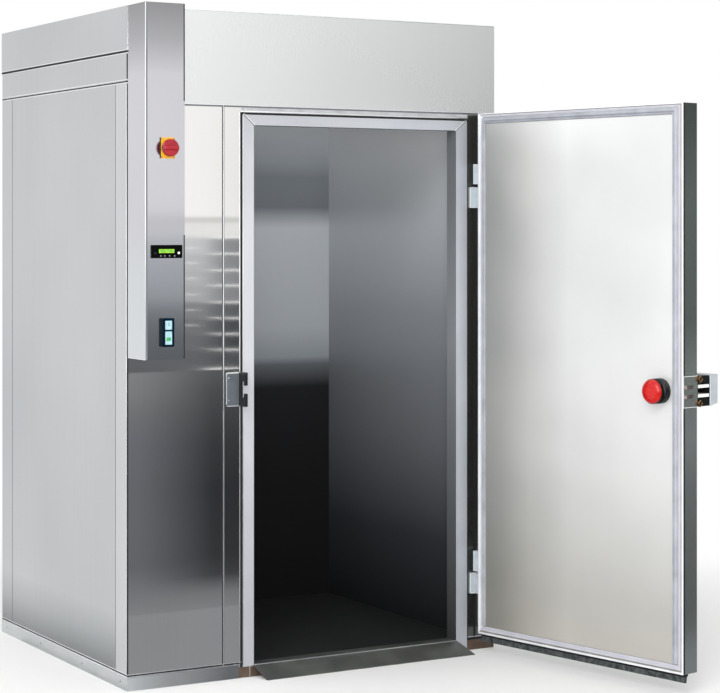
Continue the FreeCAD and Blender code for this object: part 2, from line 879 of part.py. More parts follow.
def make_baffle():
    """A folded sheet with rows of slots over each fan, hinged on a rod at its back edge."""
    t = baffle_sheet
    sheet_x = (baffle_x, baffle_x + t)
    fold_x = (baffle_x - baffle_flange, baffle_x + t)
    sheet_y = (baffle_front, baffle_back)
    sheet_z = (baffle_bottom, baffle_top)
    slots = []
    for z in fan_heights:
        for row in range(slot_rows):
            offset = (row - (slot_rows - 1) / 2) * slot_pitch
            half = math.sqrt(fan_radius**2 - (abs(offset) + slot_height / 2) ** 2)
            low = z + offset - slot_height / 2
            for y0, y1 in ((fan_y - half, fan_y - slot_rib / 2), (fan_y + slot_rib / 2, fan_y + half)):
                slots.append(block(baffle_x - past, baffle_x + past, y0, y1, low, low + slot_height))
    sheet = block(*sheet_x, *sheet_y, *sheet_z).cut(Part.makeCompound(slots))
    pivot_seat = 8.0
    pivot_bottom = floor_top - pivot_seat
    pivot_length = wall_top + pivot_seat - pivot_bottom
    pieces = [
        sheet,
        block(*fold_x, baffle_front, baffle_front + t, *sheet_z),
        block(*fold_x, baffle_back - t, baffle_back, *sheet_z),
        block(*fold_x, *sheet_y, baffle_bottom, baffle_bottom + t),
        block(*fold_x, *sheet_y, baffle_top - t, baffle_top),
        rod((*baffle_pivot, pivot_bottom), (0, 0, 1), pivot_radius, pivot_length),
    ]
    save("fan_baffle", fused(pieces))

    save("fan_motors", *[make_motor(z) for z in fan_heights])
    names = ("fan_rotor_low", "fan_rotor_mid", "fan_rotor_high")
    for name, z in zip(names, fan_heights):
        save(name, make_rotor(z))


def make_motor(z):
    """Motor on a flat cross, which four posts hold off the baffle."""
    cross_x = (344.0, 350.0)
    bar_half = 13.0
    post_radius = 6.0
    post_at = cross_arm - 8
    can = rod((motor_x[0], fan_y, z), (1, 0, 0), motor_radius, motor_x[1] - motor_x[0])
    shaft = rod((motor_x[1] - 2, fan_y, z), (1, 0, 0), shaft_radius, 36)
    level = block(*cross_x, fan_y - cross_arm, fan_y + cross_arm, z - bar_half, z + bar_half)
    upright = block(*cross_x, fan_y - bar_half, fan_y + bar_half, z - cross_arm, z + cross_arm)
    pieces = [can, shaft, level, upright]
    for y_off, z_off in ((post_at, 0), (-post_at, 0), (0, post_at), (0, -post_at)):
        start = (cross_x[0] + 4, fan_y + y_off, z + z_off)
        pieces.append(rod(start, (1, 0, 0), post_radius, baffle_x - start[0]))
    return fused(pieces)


def make_rotor(z):
    """Hub with five blades, each ruled from a steep root to a flatter tip."""
    hub_start, hub_end = fan_hub_x
    hub = rod((hub_start, fan_y, z), (1, 0, 0), fan_hub_radius, hub_end - hub_start)
    root = blade_section(fan_hub_radius - 6, 70, 42)
    tip = blade_section(fan_radius - 5, 120, 22)
    blade = Part.makeLoft([root, tip], True, True)
    pieces = [hub]
    for step in range(fan_blades):
        turned_blade = blade.copy()
        turned_blade.rotate(Vector(0, 0, 0), Vector(1, 0, 0), step * 360 / fan_blades)
        turned_blade.translate(Vector(hub_start + 20, fan_y, z))
        pieces.append(turned_blade)
    bore = shaft_radius + running_clearance
    return fused(pieces).cut(rod((hub_start - past, fan_y, z), (1, 0, 0), bore, 60))


def blade_section(radius, chord, pitch_degrees):
    """A thin rectangle across the blade at one radius, turned to its pitch."""
    thickness = 3.0
    pitch = math.radians(pitch_degrees)
    corners = []
    for along, across in ((-1, -1), (1, -1), (1, 1), (-1, 1)):
        a = along * chord / 2
        b = across * thickness / 2
        x = a * math.sin(pitch) + b * math.cos(pitch)
        y = a * math.cos(pitch) - b * math.sin(pitch)
        corners.append(Vector(x, y, radius))
    return Part.makePolygon(corners + [corners[0]])


# ---------------------------------------------------------------- fixings


def make_screws():
    """Pan heads that show: hinge leaves, strike plate, switch plate and plinth."""

    def head(x, y, z, radius, axis):
        profile = [(0, 0), (radius, 0), (radius, 1.0), (radius * 0.6, 2.2), (0, 2.4)]
        return turned(profile, (x, y, z), axis)

    screws = []
    for top in frame_leaf_tops:
        for drop in (16, frame_leaf_height - 16):
            x = frame_leaf_x[1] - 12
            screws.append(head(x, -frame_leaf_thickness, top - drop, 5, (0, -1, 0)))
    for z in (latch_z - 40, latch_z + 38):
        screws.append(head(strike_x[0] + 11, -strike_thickness, z, 4, (0, -1, 0)))
    inset = 4.5
    plate_face = -column_proud - switch_plate_thickness
    for x in (switch_plate_x[0] + inset, switch_plate_x[1] - inset):
        for z in (switch_plate_z[0] + inset, switch_plate_z[1] - inset):
            screws.append(head(x, plate_face, z, 2.4, (0, -1, 0)))
    for y in (60, 400, 800, 1160):
        z = plinth_height / 2
        screws.append(head(-trim_thickness, y, z, 3.5, (-1, 0, 0)))
        screws.append(head(width + trim_thickness, y, z, 3.5, (1, 0, 0)))
    save("fixing_screws", *screws)


os.makedirs("parts", exist_ok=True)
make_panels()
make_trim()
make_crown()
make_door_frame()
make_ramp()
make_strike()
make_column()
make_hinges()
make_door()
make_latch()
make_release()
make_evaporator()
make_junction_box()
make_baffle()
make_screws()
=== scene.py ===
import math
import bmesh
import bpy
from mathutils import Matrix, Vector


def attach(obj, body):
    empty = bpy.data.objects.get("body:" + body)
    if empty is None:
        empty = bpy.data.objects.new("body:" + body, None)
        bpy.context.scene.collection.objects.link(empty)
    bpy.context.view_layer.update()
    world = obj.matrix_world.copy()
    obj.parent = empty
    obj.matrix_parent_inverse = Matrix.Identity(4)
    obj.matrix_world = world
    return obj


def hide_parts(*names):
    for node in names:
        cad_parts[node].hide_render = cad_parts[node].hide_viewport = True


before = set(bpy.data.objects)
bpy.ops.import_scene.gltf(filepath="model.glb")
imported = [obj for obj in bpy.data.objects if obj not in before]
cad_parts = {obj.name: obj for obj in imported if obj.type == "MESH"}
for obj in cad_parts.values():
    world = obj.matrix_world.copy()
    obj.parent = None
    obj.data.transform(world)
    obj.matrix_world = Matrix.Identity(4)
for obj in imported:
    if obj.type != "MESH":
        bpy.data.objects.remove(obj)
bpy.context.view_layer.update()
print("frame loaded:", len(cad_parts), "nodes")

# Roll-in blast chiller, door open. Pieces are given in millimetres from the cabinet's front left
# floor corner (x right, y back, z up); place() turns them into metres in the frame's own axes.
# Door pieces are given with the door shut, and doorOpen swings them out on the rising hinges.
cornerMm = Vector((747.5, 607.5, 0))
hingeLine = Vector((0.6685, -0.6535, 0))
openAngle = math.radians(102)
risePerRadian = 0.006
doorRise = Vector((0, 0, risePerRadian * openAngle))
doorOpen = (
    Matrix.Translation(hingeLine + doorRise)
    @ Matrix.Rotation(openAngle, 4, "Z")
    @ Matrix.Translation(-hingeLine)
)
standing = Matrix.Identity(4)


def place(x, y, z):
    return (Vector((x, y, z)) - cornerMm) / 1000


def linear(hexColour):
    channels = [int(hexColour[i:i + 2], 16) / 255 for i in (1, 3, 5)]
    return [c / 12.92 if c <= 0.04045 else ((c + 0.055) / 1.055) ** 2.4 for c in channels] + [1]


# ---- node and material helpers


def addNode(tree, kind, settings=None, links=None):
    node = tree.nodes.new(kind)
    for name, value in (settings or {}).items():
        if isinstance(name, int) or name in node.inputs:
            node.inputs[name].default_value = value
        else:
            setattr(node, name, value)
    for name, source in (links or {}).items():
        tree.links.new(source, node.inputs[name])
    return node


def startMaterial(name, shaderSettings):
    material = bpy.data.materials.new(name)
    material.use_nodes = True
    tree = material.node_tree
    tree.nodes.clear()
    output = addNode(tree, "ShaderNodeOutputMaterial")
    shader = addNode(tree, "ShaderNodeBsdfPrincipled", shaderSettings)
    tree.links.new(shader.outputs["BSDF"], output.inputs["Surface"])
    return material, tree, shader


def setRamp(node, stops):
    ramp = node.color_ramp
    while len(ramp.elements) < len(stops):
        ramp.elements.new(1)
    for element, (position, colour) in zip(ramp.elements, stops):
        element.position = position
        element.color = linear(colour)


# what most sheets share: all metal, with upright grain lines 5 mm apart and 900 mm long
usualSheet = {"metal": 1.0, "grain": "upright", "lineMm": 5, "lineLengthMm": 900, "cloudMm": 600}


def steelSheet(name, **look):
    # Stainless sheet: a metal mirror blurred by its grain, which smears reflections across the
    # grain and leaves them crisp along it; faint lines and cloudy patches break up the tone.
    look = {**usualSheet, **look}
    # how far the noise strays from its middle, and a direction no face looks in exactly
    swing, nearlyUp = 0.25, (0.001, 0.002, 1.0)
    material, tree, shader = startMaterial(
        name, {"Metallic": look["metal"], "Anisotropic": look["smear"]}
    )
    spot = addNode(tree, "ShaderNodeTexCoord").outputs["Object"]
    across, along = 1000 / look["lineMm"], 1000 / look["lineLengthMm"]
    scale = (across, across, along) if look["grain"] == "upright" else (along, along, across)
    stretched = addNode(tree, "ShaderNodeMapping", {"Scale": scale}, {"Vector": spot})
    lines = addNode(
        tree, "ShaderNodeTexNoise", {"Scale": 1.0, "Detail": 3.0, "Roughness": 0.65},
        {"Vector": stretched.outputs[0]},
    )
    clouds = addNode(
        tree, "ShaderNodeTexNoise",
        {"Scale": 1000 / look["cloudMm"], "Detail": 2.0, "Roughness": 0.5}, {"Vector": spot},
    )
    tone = addNode(
        tree, "ShaderNodeMath", {"operation": "MULTIPLY_ADD", 1: look["lineShare"]},
        {0: lines.outputs["Fac"], 2: clouds.outputs["Fac"]},
    )
    middle = 0.5 + look["lineShare"] / 2
    colour = addNode(tree, "ShaderNodeValToRGB", None, {"Fac": tone.outputs[0]})
    setRamp(colour, [(middle - swing, look["dark"]), (middle + swing, look["light"])])
    finish = colour.outputs["Color"]
    # painted light and shade laid over the sheet's own tone
    for fade in look.get("fades", []):
        finish = paintedLightFade(tree, spot, finish, fade)
    # inside the chamber the sheet takes painted light and shade
    if "inside" in look:
        finish, metal = insidePaintedLight(tree, spot, finish, look)
        tree.links.new(metal, shader.inputs["Metallic"])
    tree.links.new(finish, shader.inputs["Base Color"])
    gloss = addNode(
        tree, "ShaderNodeMapRange",
        {"From Min": middle - swing, "From Max": middle + swing,
         "To Min": look["roughness"] - look["spread"], "To Max": look["roughness"] + look["spread"]},
        {"Value": tone.outputs[0]},
    )
    tree.links.new(gloss.outputs[0], shader.inputs["Roughness"])
    bump = addNode(
        tree, "ShaderNodeBump", {"Strength": look["bump"], "Distance": 0.0004},
        {"Height": lines.outputs["Fac"]},
    )
    tree.links.new(bump.outputs[0], shader.inputs["Normal"])
    # the smear runs level for an upright grain, and upright for a level one
    normal = addNode(tree, "ShaderNodeNewGeometry").outputs["Normal"]
    level = addNode(
        tree, "ShaderNodeVectorMath", {"operation": "CROSS_PRODUCT", 1: nearlyUp}, {0: normal}
    )
    direction = level.outputs[0]
    if look["grain"] != "upright":
        direction = addNode(
            tree, "ShaderNodeVectorMath", {"operation": "CROSS_PRODUCT"}, {0: normal, 1: direction}
        ).outputs[0]
    tree.links.new(direction, shader.inputs["Tangent"])
    return material


def paintedLightFade(tree, spot, finish, fade):
    # painted light and shade: a tone that drifts along one axis, between two places in metres
    along = addNode(tree, "ShaderNodeSeparateXYZ", None, {0: spot}).outputs[fade["axis"]]
    share = addNode(
        tree, "ShaderNodeMapRange", {"From Min": fade["from"], "From Max": fade["to"]},
        {"Value": along},
    )
    tint = addNode(tree, "ShaderNodeValToRGB", None, {"Fac": share.outputs[0]})
    setRamp(tint, fade["stops"])
    both = addNode(
        tree, "ShaderNodeMix", {"data_type": "RGBA", "blend_type": "MULTIPLY", 0: 1.0},
        {6: finish, 7: tint.outputs["Color"]},
    )
    return both.outputs[2]


def insidePaintedLight(tree, spot, outside, look):
    # the faces that look into the chamber take painted light and shade of their own, darker towards the
    # floor
    middle, half = look.get("insideBox", chamberBox)
    moved = addNode(tree, "ShaderNodeVectorMath", {"operation": "SUBTRACT", 1: middle}, {0: spot})
    folded = addNode(tree, "ShaderNodeVectorMath", {"operation": "ABSOLUTE"}, {0: moved.outputs[0]})
    share = addNode(
        tree, "ShaderNodeVectorMath", {"operation": "DIVIDE", 1: half}, {0: folded.outputs[0]},
    )
    parts = addNode(tree, "ShaderNodeSeparateXYZ", None, {0: share.outputs[0]})
    widest = addNode(
        tree, "ShaderNodeMath", {"operation": "MAXIMUM"}, {0: parts.outputs[0], 1: parts.outputs[1]}
    )
    widest = addNode(
        tree, "ShaderNodeMath", {"operation": "MAXIMUM"}, {0: widest.outputs[0], 1: parts.outputs[2]}
    )
    within = addNode(
        tree, "ShaderNodeMath", {"operation": "LESS_THAN", 1: 1.0}, {0: widest.outputs[0]}
    )
    height = addNode(tree, "ShaderNodeSeparateXYZ", None, {0: spot})
    upward = addNode(
        tree, "ShaderNodeMapRange", {"From Min": 0.0, "From Max": chamberTop},
        {"Value": height.outputs[2]},
    )
    tone = addNode(tree, "ShaderNodeValToRGB", None, {"Fac": upward.outputs[0]})
    setRamp(tone, look["inside"])
    both = addNode(
        tree, "ShaderNodeMix", {"data_type": "RGBA"},
        {0: within.outputs[0], 6: outside, 7: tone.outputs["Color"]},
    )
    metal = addNode(
        tree, "ShaderNodeMapRange", {"To Min": look["metal"], "To Max": look["insideMetal"]},
        {"Value": within.outputs[0]},
    )
    return both.outputs[2], metal.outputs[0]


# the middle and half size of the space inside the chamber, and of the doorway between its reveals
chamberBox = ((0, -0.0103, 1.0595), (0.6735, 0.5388, 1.0225))
doorwayBox = ((0.157, -0.58, 0.97), (0.4233, 0.1, 0.9735))

# painted light and shade up the height of the chamber, as shares of it: the unlit steel goes dark to the
# floor, and the back wall carries painted reflection bands
chamberTop = 2.08
chamberWallPaintedShade = [
    (0.0, "#1e1f20"), (0.18, "#42454a"), (0.36, "#7c7f85"), (0.6, "#a0a4a9"), (0.8, "#d4d8dc"),
    (1.0, "#ffffff"),
]
backWallPaintedReflections = [
    (0.0, "#1a1a1a"), (0.44, "#1e1e20"), (0.485, "#6e7276"), (0.5, "#a2a8ae"), (0.56, "#bfc4ca"),
    (0.76, "#cbcfd4"), (0.8, "#767a80"), (0.86, "#7c8288"), (0.92, "#b8bdc2"), (1.0, "#f4f6f8"),
]
chamberFloorPaintedShade = [(0.0, "#2c2d2d"), (1.0, "#8a8c8e")]
revealPaintedShade = [
    (0.0, "#4c4e4f"), (0.25, "#7c8083"), (0.55, "#b0b4b8"), (0.8, "#979b9f"), (1.0, "#85898d"),
]
# the left end face takes a cooler, darker tone: painted shade; inside the chamber, painted light and shade
frontSheet = steelSheet(
    "brushedStainlessFront", dark="#dddcda", light="#e8e7e5", roughness=0.05, spread=0.01,
    smear=0.9, lineShare=0.25, bump=0.01, inside=chamberWallPaintedShade, insideMetal=0.35,
    fades=[{"axis": 0, "from": -0.7476, "to": -0.7455, "stops": [(0.0, "#e3e6eb"), (1.0, "#ffffff")]}],
)
# darker across the jamb's front beside the frame: a painted reflection of the door's shaded hinge edge; the
# right end face stays light
hingeJambSheet = steelSheet(
    "brushedStainlessHingeJamb", dark="#bcbfc1", light="#cccdcf", roughness=0.2, spread=0.02,
    smear=0.9, lineShare=0.25, bump=0.02, inside=chamberWallPaintedShade, insideMetal=0.35,
    fades=[{"axis": 0, "from": 0.6325, "to": 0.747, "stops": [
        (0.0, "#c1c0b8"), (0.26, "#a6a59e"), (0.95, "#a6a59e"), (1.0, "#ffffff")]}],
)
backSheet = steelSheet(
    "brushedStainlessBack", dark="#c2c5c8", light="#ced1d3", roughness=0.3, spread=0.03, smear=0.7,
    lineShare=0.25, bump=0.02, inside=backWallPaintedReflections, insideMetal=0.2,
)
floorSheet = steelSheet(
    "stainlessFloorPan", dark="#8f9193", light="#9fa2a4", roughness=0.4, spread=0.05, smear=0.3,
    grain="level", lineLengthMm=500, lineShare=0.3, cloudMm=300, bump=0.03, inside=chamberFloorPaintedShade,
    insideMetal=0.4,
)
# darker towards the floor: painted shade
sideSheet = steelSheet(
    "brushedStainlessSide", dark="#bcbfc1", light="#cccdcf", roughness=0.34, spread=0.03, smear=0.6,
    lineMm=6, lineLengthMm=700, lineShare=0.35, cloudMm=900, bump=0.015, inside=chamberWallPaintedShade,
    insideMetal=0.25,
    fades=[{"axis": 2, "from": 0.0, "to": 0.45, "stops": [
        (0.0, "#b0b2b4"), (0.16, "#bcbebf"), (0.34, "#e4e5e6"), (0.56, "#ffffff"), (1.0, "#ffffff")]}],
)
crownSheet = steelSheet(
    "brushedStainlessCrown", dark="#e6e7e7", light="#eeefee", roughness=0.28, spread=0.02,
    smear=0.6, lineShare=0.18, cloudMm=1400, bump=0.0,
)
# darker towards the top: painted shade; the left end face lighter than the front: painted light
columnSheet = steelSheet(
    "brushedStainlessColumn", dark="#e8e8ec", light="#eeeef2", roughness=0.11, spread=0.01,
    smear=0.8, lineMm=4, lineLengthMm=800, lineShare=0.2, cloudMm=500, bump=0.01,
    fades=[
        {"axis": 2, "from": 1.138, "to": 2.34, "stops": [
            (0.0, "#faffff"), (0.25, "#f6fafa"), (0.38, "#f4f3f5"), (0.8, "#f4f3f5"), (0.9, "#cccccc"),
            (1.0, "#b0b0b0")]},
        {"axis": 0, "from": -0.7476, "to": -0.7455, "stops": [(0.0, "#ebebeb"), (1.0, "#dfdfdf")]},
    ],
)
# lighter through the middle of its height, darker towards the top and cooler to the right: painted light
# and shade; the reveals inside the doorway take painted shade
frameProfile = steelSheet(
    "satinFrameProfile", dark="#d6d8de", light="#e4e6ea", roughness=0.42, spread=0.03, smear=0.4,
    metal=0.55, lineMm=3, lineLengthMm=600, lineShare=0.2, cloudMm=300, bump=0.02,
    inside=revealPaintedShade, insideMetal=0.5, insideBox=doorwayBox,
    fades=[
        {"axis": 2, "from": 0.3, "to": 1.985, "stops": [
            (0.0, "#f4f4f4"), (0.12, "#ffffff"), (0.6, "#ffffff"), (0.8, "#f0f0f0"), (1.0, "#dcdcdc")]},
        {"axis": 0, "from": -0.2655, "to": 0.5795, "stops": [(0.0, "#ffffff"), (1.0, "#f3f5f8")]},
    ],
)
# darker towards the hinge side, and warmer and darker towards the bottom: painted shade and a painted
# reflection of the floor
linerSheet = steelSheet(
    "satinDoorLiner", dark="#eaebeb", light="#f7f7f7", roughness=0.4, spread=0.04, smear=0.5,
    metal=0.45, lineShare=0.12, cloudMm=420, bump=0.02,
    fades=[
        {"axis": 1, "from": -0.66, "to": -1.3, "stops": [
            (0.0, "#b4b5b3"), (0.2, "#cbccca"), (0.42, "#ececea"), (0.7, "#ffffff"), (1.0, "#fafafa")]},
        {"axis": 2, "from": 0.06, "to": 1.1, "stops": [
            (0.0, "#e2ddd4"), (0.2, "#dfdcd6"), (0.4, "#e8e7e4"), (0.65, "#f8f8f7"), (1.0, "#ffffff")]},
    ],
)
# painted reflection bands up the height: dark at the foot, a bright band low down, darker above
doorSkin = steelSheet(
    "brushedDoorSkin", dark="#dfe5e2", light="#eaf0ed", roughness=0.26, spread=0.03, smear=0.7,
    metal=0.92, lineShare=0.2, cloudMm=500, bump=0.02,
    fades=[{"axis": 2, "from": 0.06, "to": 2.0, "stops": [
        (0.0, "#c8cac9"), (0.22, "#e6e8e7"), (0.42, "#ffffff"), (0.62, "#a8aaa9"), (0.82, "#b2b4b3"),
        (1.0, "#8e908f")]}],
)
trimSheet = steelSheet(
    "satinTrim", dark="#a6a9ab", light="#bcbfc1", roughness=0.3, spread=0.04, smear=0.4,
    grain="level", lineMm=4, lineLengthMm=300, lineShare=0.3, cloudMm=200, bump=0.03,
)
# light at the left corner and darker to the right: painted light and shade
plinthTrim = steelSheet(
    "satinPlinthStrip", dark="#b9bcbe", light="#c9cccd", roughness=0.42, spread=0.04, smear=0.3,
    metal=0.5, grain="level", lineMm=4, lineLengthMm=300, lineShare=0.2, cloudMm=200, bump=0.02,
    fades=[{"axis": 0, "from": -0.74, "to": -0.36, "stops": [
        (0.0, "#ffffff"), (0.4, "#c8c8c8"), (1.0, "#8c8c90")]}],
)
strikeSheet = steelSheet(
    "greyStrikePlate", dark="#6e757b", light="#7d848a", roughness=0.34, spread=0.03, smear=0.4,
    metal=0.5, lineMm=3, lineLengthMm=80, lineShare=0.2, cloudMm=60, bump=0.02,
)
rampPlate = steelSheet(
    "walkedOnRampPlate", dark="#7c7e7b", light="#979892", roughness=0.42, spread=0.06, smear=0.4,
    grain="level", lineMm=6, lineLengthMm=260, lineShare=0.3, cloudMm=120, bump=0.08,
)


def mouldedPlastic(name, **look):
    # Moulded plastic: even colour, a fine pebbled skin from the tool, and slightly uneven gloss
    material, tree, shader = startMaterial(name, {"IOR": look.get("ior", 1.5), "Metallic": 0.0})
    spot = addNode(tree, "ShaderNodeTexCoord").outputs["Object"]
    pebbles = addNode(
        tree, "ShaderNodeTexNoise", {"Scale": 1000 / look["grainMm"], "Detail": 2.0, "Roughness": 0.6},
        {"Vector": spot},
    )
    patches = addNode(
        tree, "ShaderNodeTexNoise", {"Scale": 1000 / look["patchMm"], "Detail": 3.0, "Roughness": 0.55},
        {"Vector": spot},
    )
    colour = addNode(tree, "ShaderNodeValToRGB", None, {"Fac": patches.outputs["Fac"]})
    setRamp(colour, [(0.3, look["dark"]), (0.7, look["light"])])
    tree.links.new(colour.outputs["Color"], shader.inputs["Base Color"])
    gloss = addNode(
        tree, "ShaderNodeMapRange",
        {"From Min": 0.3, "From Max": 0.7,
         "To Min": look["roughness"] - 0.05, "To Max": look["roughness"] + 0.06},
        {"Value": patches.outputs["Fac"]},
    )
    tree.links.new(gloss.outputs[0], shader.inputs["Roughness"])
    bump = addNode(
        tree, "ShaderNodeBump", {"Strength": look["bump"], "Distance": 0.0003},
        {"Height": pebbles.outputs["Fac"]},
    )
    tree.links.new(bump.outputs[0], shader.inputs["Normal"])
    return material


blackAbs = mouldedPlastic(
    "blackAbs", dark="#090a0b", light="#131416", roughness=0.46, grainMm=1.2, patchMm=25, bump=0.15,
    ior=1.38,
)
glossBlack = mouldedPlastic(
    "glossBlackFascia", dark="#020202", light="#060607", roughness=0.5, grainMm=2, patchMm=25,
    bump=0.02, ior=1.14,
)
greyAbs = mouldedPlastic(
    "lightGreyAbs", dark="#a9b0b6", light="#b6bdc3", roughness=0.4, grainMm=1.5, patchMm=30,
    bump=0.1,
)
redAbs = mouldedPlastic(
    "redMushroomAbs", dark="#b40e0d", light="#cc1914", roughness=0.26, grainMm=3, patchMm=20,
    bump=0.03,
)
dialAbs = mouldedPlastic(
    "redDialAbs", dark="#8c0d1e", light="#aa1626", roughness=0.32, grainMm=2, patchMm=18, bump=0.05,
)
yellowAbs = mouldedPlastic(
    "yellowPlateAbs", dark="#eba51a", light="#f7b92c", roughness=0.38, grainMm=1.5, patchMm=22,
    bump=0.08,
)
lilacPvc = mouldedPlastic(
    "extrudedLilacPvc", dark="#b9b9c3", light="#c6c6cf", roughness=0.4, grainMm=4, patchMm=80,
    bump=0.04,
)
# a darker grey in the moulding's groove and along the liner's edges
greyGrooveTone = mouldedPlastic(
    "darkerGreyGrooveLines", dark="#807d78", light="#989590", roughness=0.7, grainMm=3, patchMm=40, bump=0.1,
)
whitePvc = mouldedPlastic(
    "extrudedWhitePvc", dark="#dadbe0", light="#ecedf0", roughness=0.36, grainMm=4, patchMm=80,
    bump=0.04,
)
greyRubber = mouldedPlastic(
    "greyGasketRubber", dark="#999ba4", light="#b0b2ba", roughness=0.6, grainMm=2, patchMm=60,
    bump=0.1,
)
blackRubber = mouldedPlastic(
    "scuffedBlackRubber", dark="#0c0e0e", light="#5c6262", roughness=0.5, grainMm=9, patchMm=16,
    bump=0.9,
)
silverKey = mouldedPlastic(
    "silverKeyAbs", dark="#5c5f62", light="#7c8083", roughness=0.35, grainMm=1, patchMm=6,
    bump=0.05,
)
whiteKey = mouldedPlastic(
    "whiteKeyAbs", dark="#e6eaea", light="#f6f8f8", roughness=0.3, grainMm=1, patchMm=6, bump=0.03,
)
windowAcrylic = mouldedPlastic(
    "frostedBlueAcrylic", dark="#93bcc9", light="#b2d6de", roughness=0.22, grainMm=2, patchMm=12,
    bump=0.04, ior=1.49,
)
navyAbs = mouldedPlastic(
    "navyAbs", dark="#03090f", light="#0a2436", roughness=0.5, grainMm=1.5, patchMm=20, bump=0.05,
    ior=1.06,
)
lcdGlass = mouldedPlastic(
    "greenLcdWindow", dark="#8fce2c", light="#a8e040", roughness=0.18, grainMm=2, patchMm=20,
    bump=0.01, ior=1.52,
)
keyGreen = mouldedPlastic(
    "greenKeyInsert", dark="#2f8f45", light="#44a95a", roughness=0.3, grainMm=1.5, patchMm=8,
    bump=0.03,
)
lcdInk = mouldedPlastic(
    "darkLcdSegments", dark="#3c8a34", light="#4d9c40", roughness=0.3, grainMm=2, patchMm=8,
    bump=0.01,
)
keyInk = mouldedPlastic(
    "greyKeyInk", dark="#6f868c", light="#83989c", roughness=0.4, grainMm=1, patchMm=5, bump=0.02,
)
# black for real seals and joints, and for painted shade in gaps, under overhangs and along shaded edges
blackSealOrShade = mouldedPlastic(
    "blackSealOrPaintedShade", dark="#0b0b0c", light="#161718", roughness=0.75, grainMm=2, patchMm=60,
    bump=0.1,
)
# grey strips of painted shade in the gaps between parts
seamPaintedShade = mouldedPlastic(
    "shadedSeam", dark="#63666a", light="#74777a", roughness=0.6, grainMm=2, patchMm=90, bump=0.05,
)
floorPly = mouldedPlastic(
    "brownPhenolicPly", dark="#4a3a30", light="#63503f", roughness=0.5, grainMm=4, patchMm=40,
    bump=0.2,
)
# white enamel for the latch's bars, and for white strips of painted highlight along edges
whiteEnamelOrHighlight = mouldedPlastic(
    "whiteEnamelAndPaintedHighlight", dark="#e4e4e3", light="#f3f3f2", roughness=0.24, grainMm=3, patchMm=20,
    bump=0.03,
)
# grey enamel of the hinge leaves, also used for pale strips of painted highlight round the strike plate
greyEnamelOrHighlight = mouldedPlastic(
    "greyEnamelAndPaintedHighlight", dark="#b5bec5", light="#c9d1d6", roughness=0.34, grainMm=3, patchMm=30,
    bump=0.06,
)
boardLacquer = mouldedPlastic(
    "greenBoardLacquer", dark="#0d3a1e", light="#155a30", roughness=0.3, grainMm=4, patchMm=12,
    bump=0.2,
)
sealant = mouldedPlastic(
    "greySiliconeSealant", dark="#4c4f52", light="#66696c", roughness=0.5, grainMm=3, patchMm=50,
    bump=0.1,
)
# a grey strip of painted shade along the header above the door frame
palePaintedShade = mouldedPlastic(
    "palePaintedShadeStrip", dark="#9a9c9f", light="#b4b6b8", roughness=0.5, grainMm=3, patchMm=50,
    bump=0.1,
)
keeperCast = mouldedPlastic(
    "blackCastKeeper", dark="#08080a", light="#161618", roughness=0.38, grainMm=1.5, patchMm=15,
    bump=0.25,
)


def castOrPlated(name, **look):
    # Small metal parts: polished, plated or cast, with fine tooling lines and handling marks
    material, tree, shader = startMaterial(name, {"Metallic": 1.0})
    spot = addNode(tree, "ShaderNodeTexCoord").outputs["Object"]
    marks = addNode(
        tree, "ShaderNodeTexNoise", {"Scale": 1000 / look["markMm"], "Detail": 4.0, "Roughness": 0.6},
        {"Vector": spot},
    )
    colour = addNode(tree, "ShaderNodeValToRGB", None, {"Fac": marks.outputs["Fac"]})
    setRamp(colour, [(0.3, look["dark"]), (0.7, look["light"])])
    tree.links.new(colour.outputs["Color"], shader.inputs["Base Color"])
    gloss = addNode(
        tree, "ShaderNodeMapRange",
        {"From Min": 0.3, "From Max": 0.7, "To Min": look["roughness"], "To Max": look["roughness"] + 0.1},
        {"Value": marks.outputs["Fac"]},
    )
    tree.links.new(gloss.outputs[0], shader.inputs["Roughness"])
    return material


castBrass = castOrPlated(
    "castBrass", dark="#c79a6a", light="#f0cfa2", roughness=0.28, markMm=4,
)
darkBronze = castOrPlated(
    "darkBronze", dark="#4a2e1c", light="#8a5a38", roughness=0.36, markMm=5,
)
dullBolt = castOrPlated(
    "dullBoltSteel", dark="#a3918f", light="#bfaead", roughness=0.34, markMm=6,
)
rolledEdge = castOrPlated(
    "rolledBrightEdge", dark="#e6e9eb", light="#f5f6f7", roughness=0.3, markMm=60,
)
groundSteel = castOrPlated(
    "groundSteelPin", dark="#9b9ea0", light="#bcbfc1", roughness=0.22, markMm=5,
)
screwSteel = castOrPlated(
    "screwSteel", dark="#8c8f91", light="#b8bbbd", roughness=0.25, markMm=3,
)
drawnCopper = castOrPlated(
    "drawnCopperTube", dark="#9c5a35", light="#cf8a5d", roughness=0.26, markMm=30,
)


def finStack(name, look):
    # Aluminium fins edge on: bright edges with painted shade in the dark slots between them. Real fins
    # stand about 3 mm apart, which is too fine to show, so they are drawn as coarse as pitchMm.
    material, tree, shader = startMaterial(name, {"Metallic": 1.0, "Roughness": 0.38})
    spot = addNode(tree, "ShaderNodeTexCoord").outputs["Object"]
    parts = addNode(tree, "ShaderNodeSeparateXYZ", None, {0: spot})
    saw = addNode(
        tree, "ShaderNodeMath", {"operation": "MULTIPLY", 1: 1000 / look["pitchMm"]}, {0: parts.outputs[1]}
    )
    saw = addNode(tree, "ShaderNodeMath", {"operation": "PINGPONG", 1: 0.5}, {0: saw.outputs[0]})
    colour = addNode(tree, "ShaderNodeValToRGB", None, {"Fac": saw.outputs[0]})
    setRamp(colour, [(0.1, look["slot"]), (0.3, look["fin"])])
    tree.links.new(colour.outputs["Color"], shader.inputs["Base Color"])
    bump = addNode(tree, "ShaderNodeBump", {"Strength": 0.6, "Distance": 0.002}, {"Height": saw.outputs[0]})
    tree.links.new(bump.outputs[0], shader.inputs["Normal"])
    return material


coilFins = finStack("aluminiumFinStack", {"pitchMm": 8, "slot": "#2b2d2f", "fin": "#c3c6c8"})

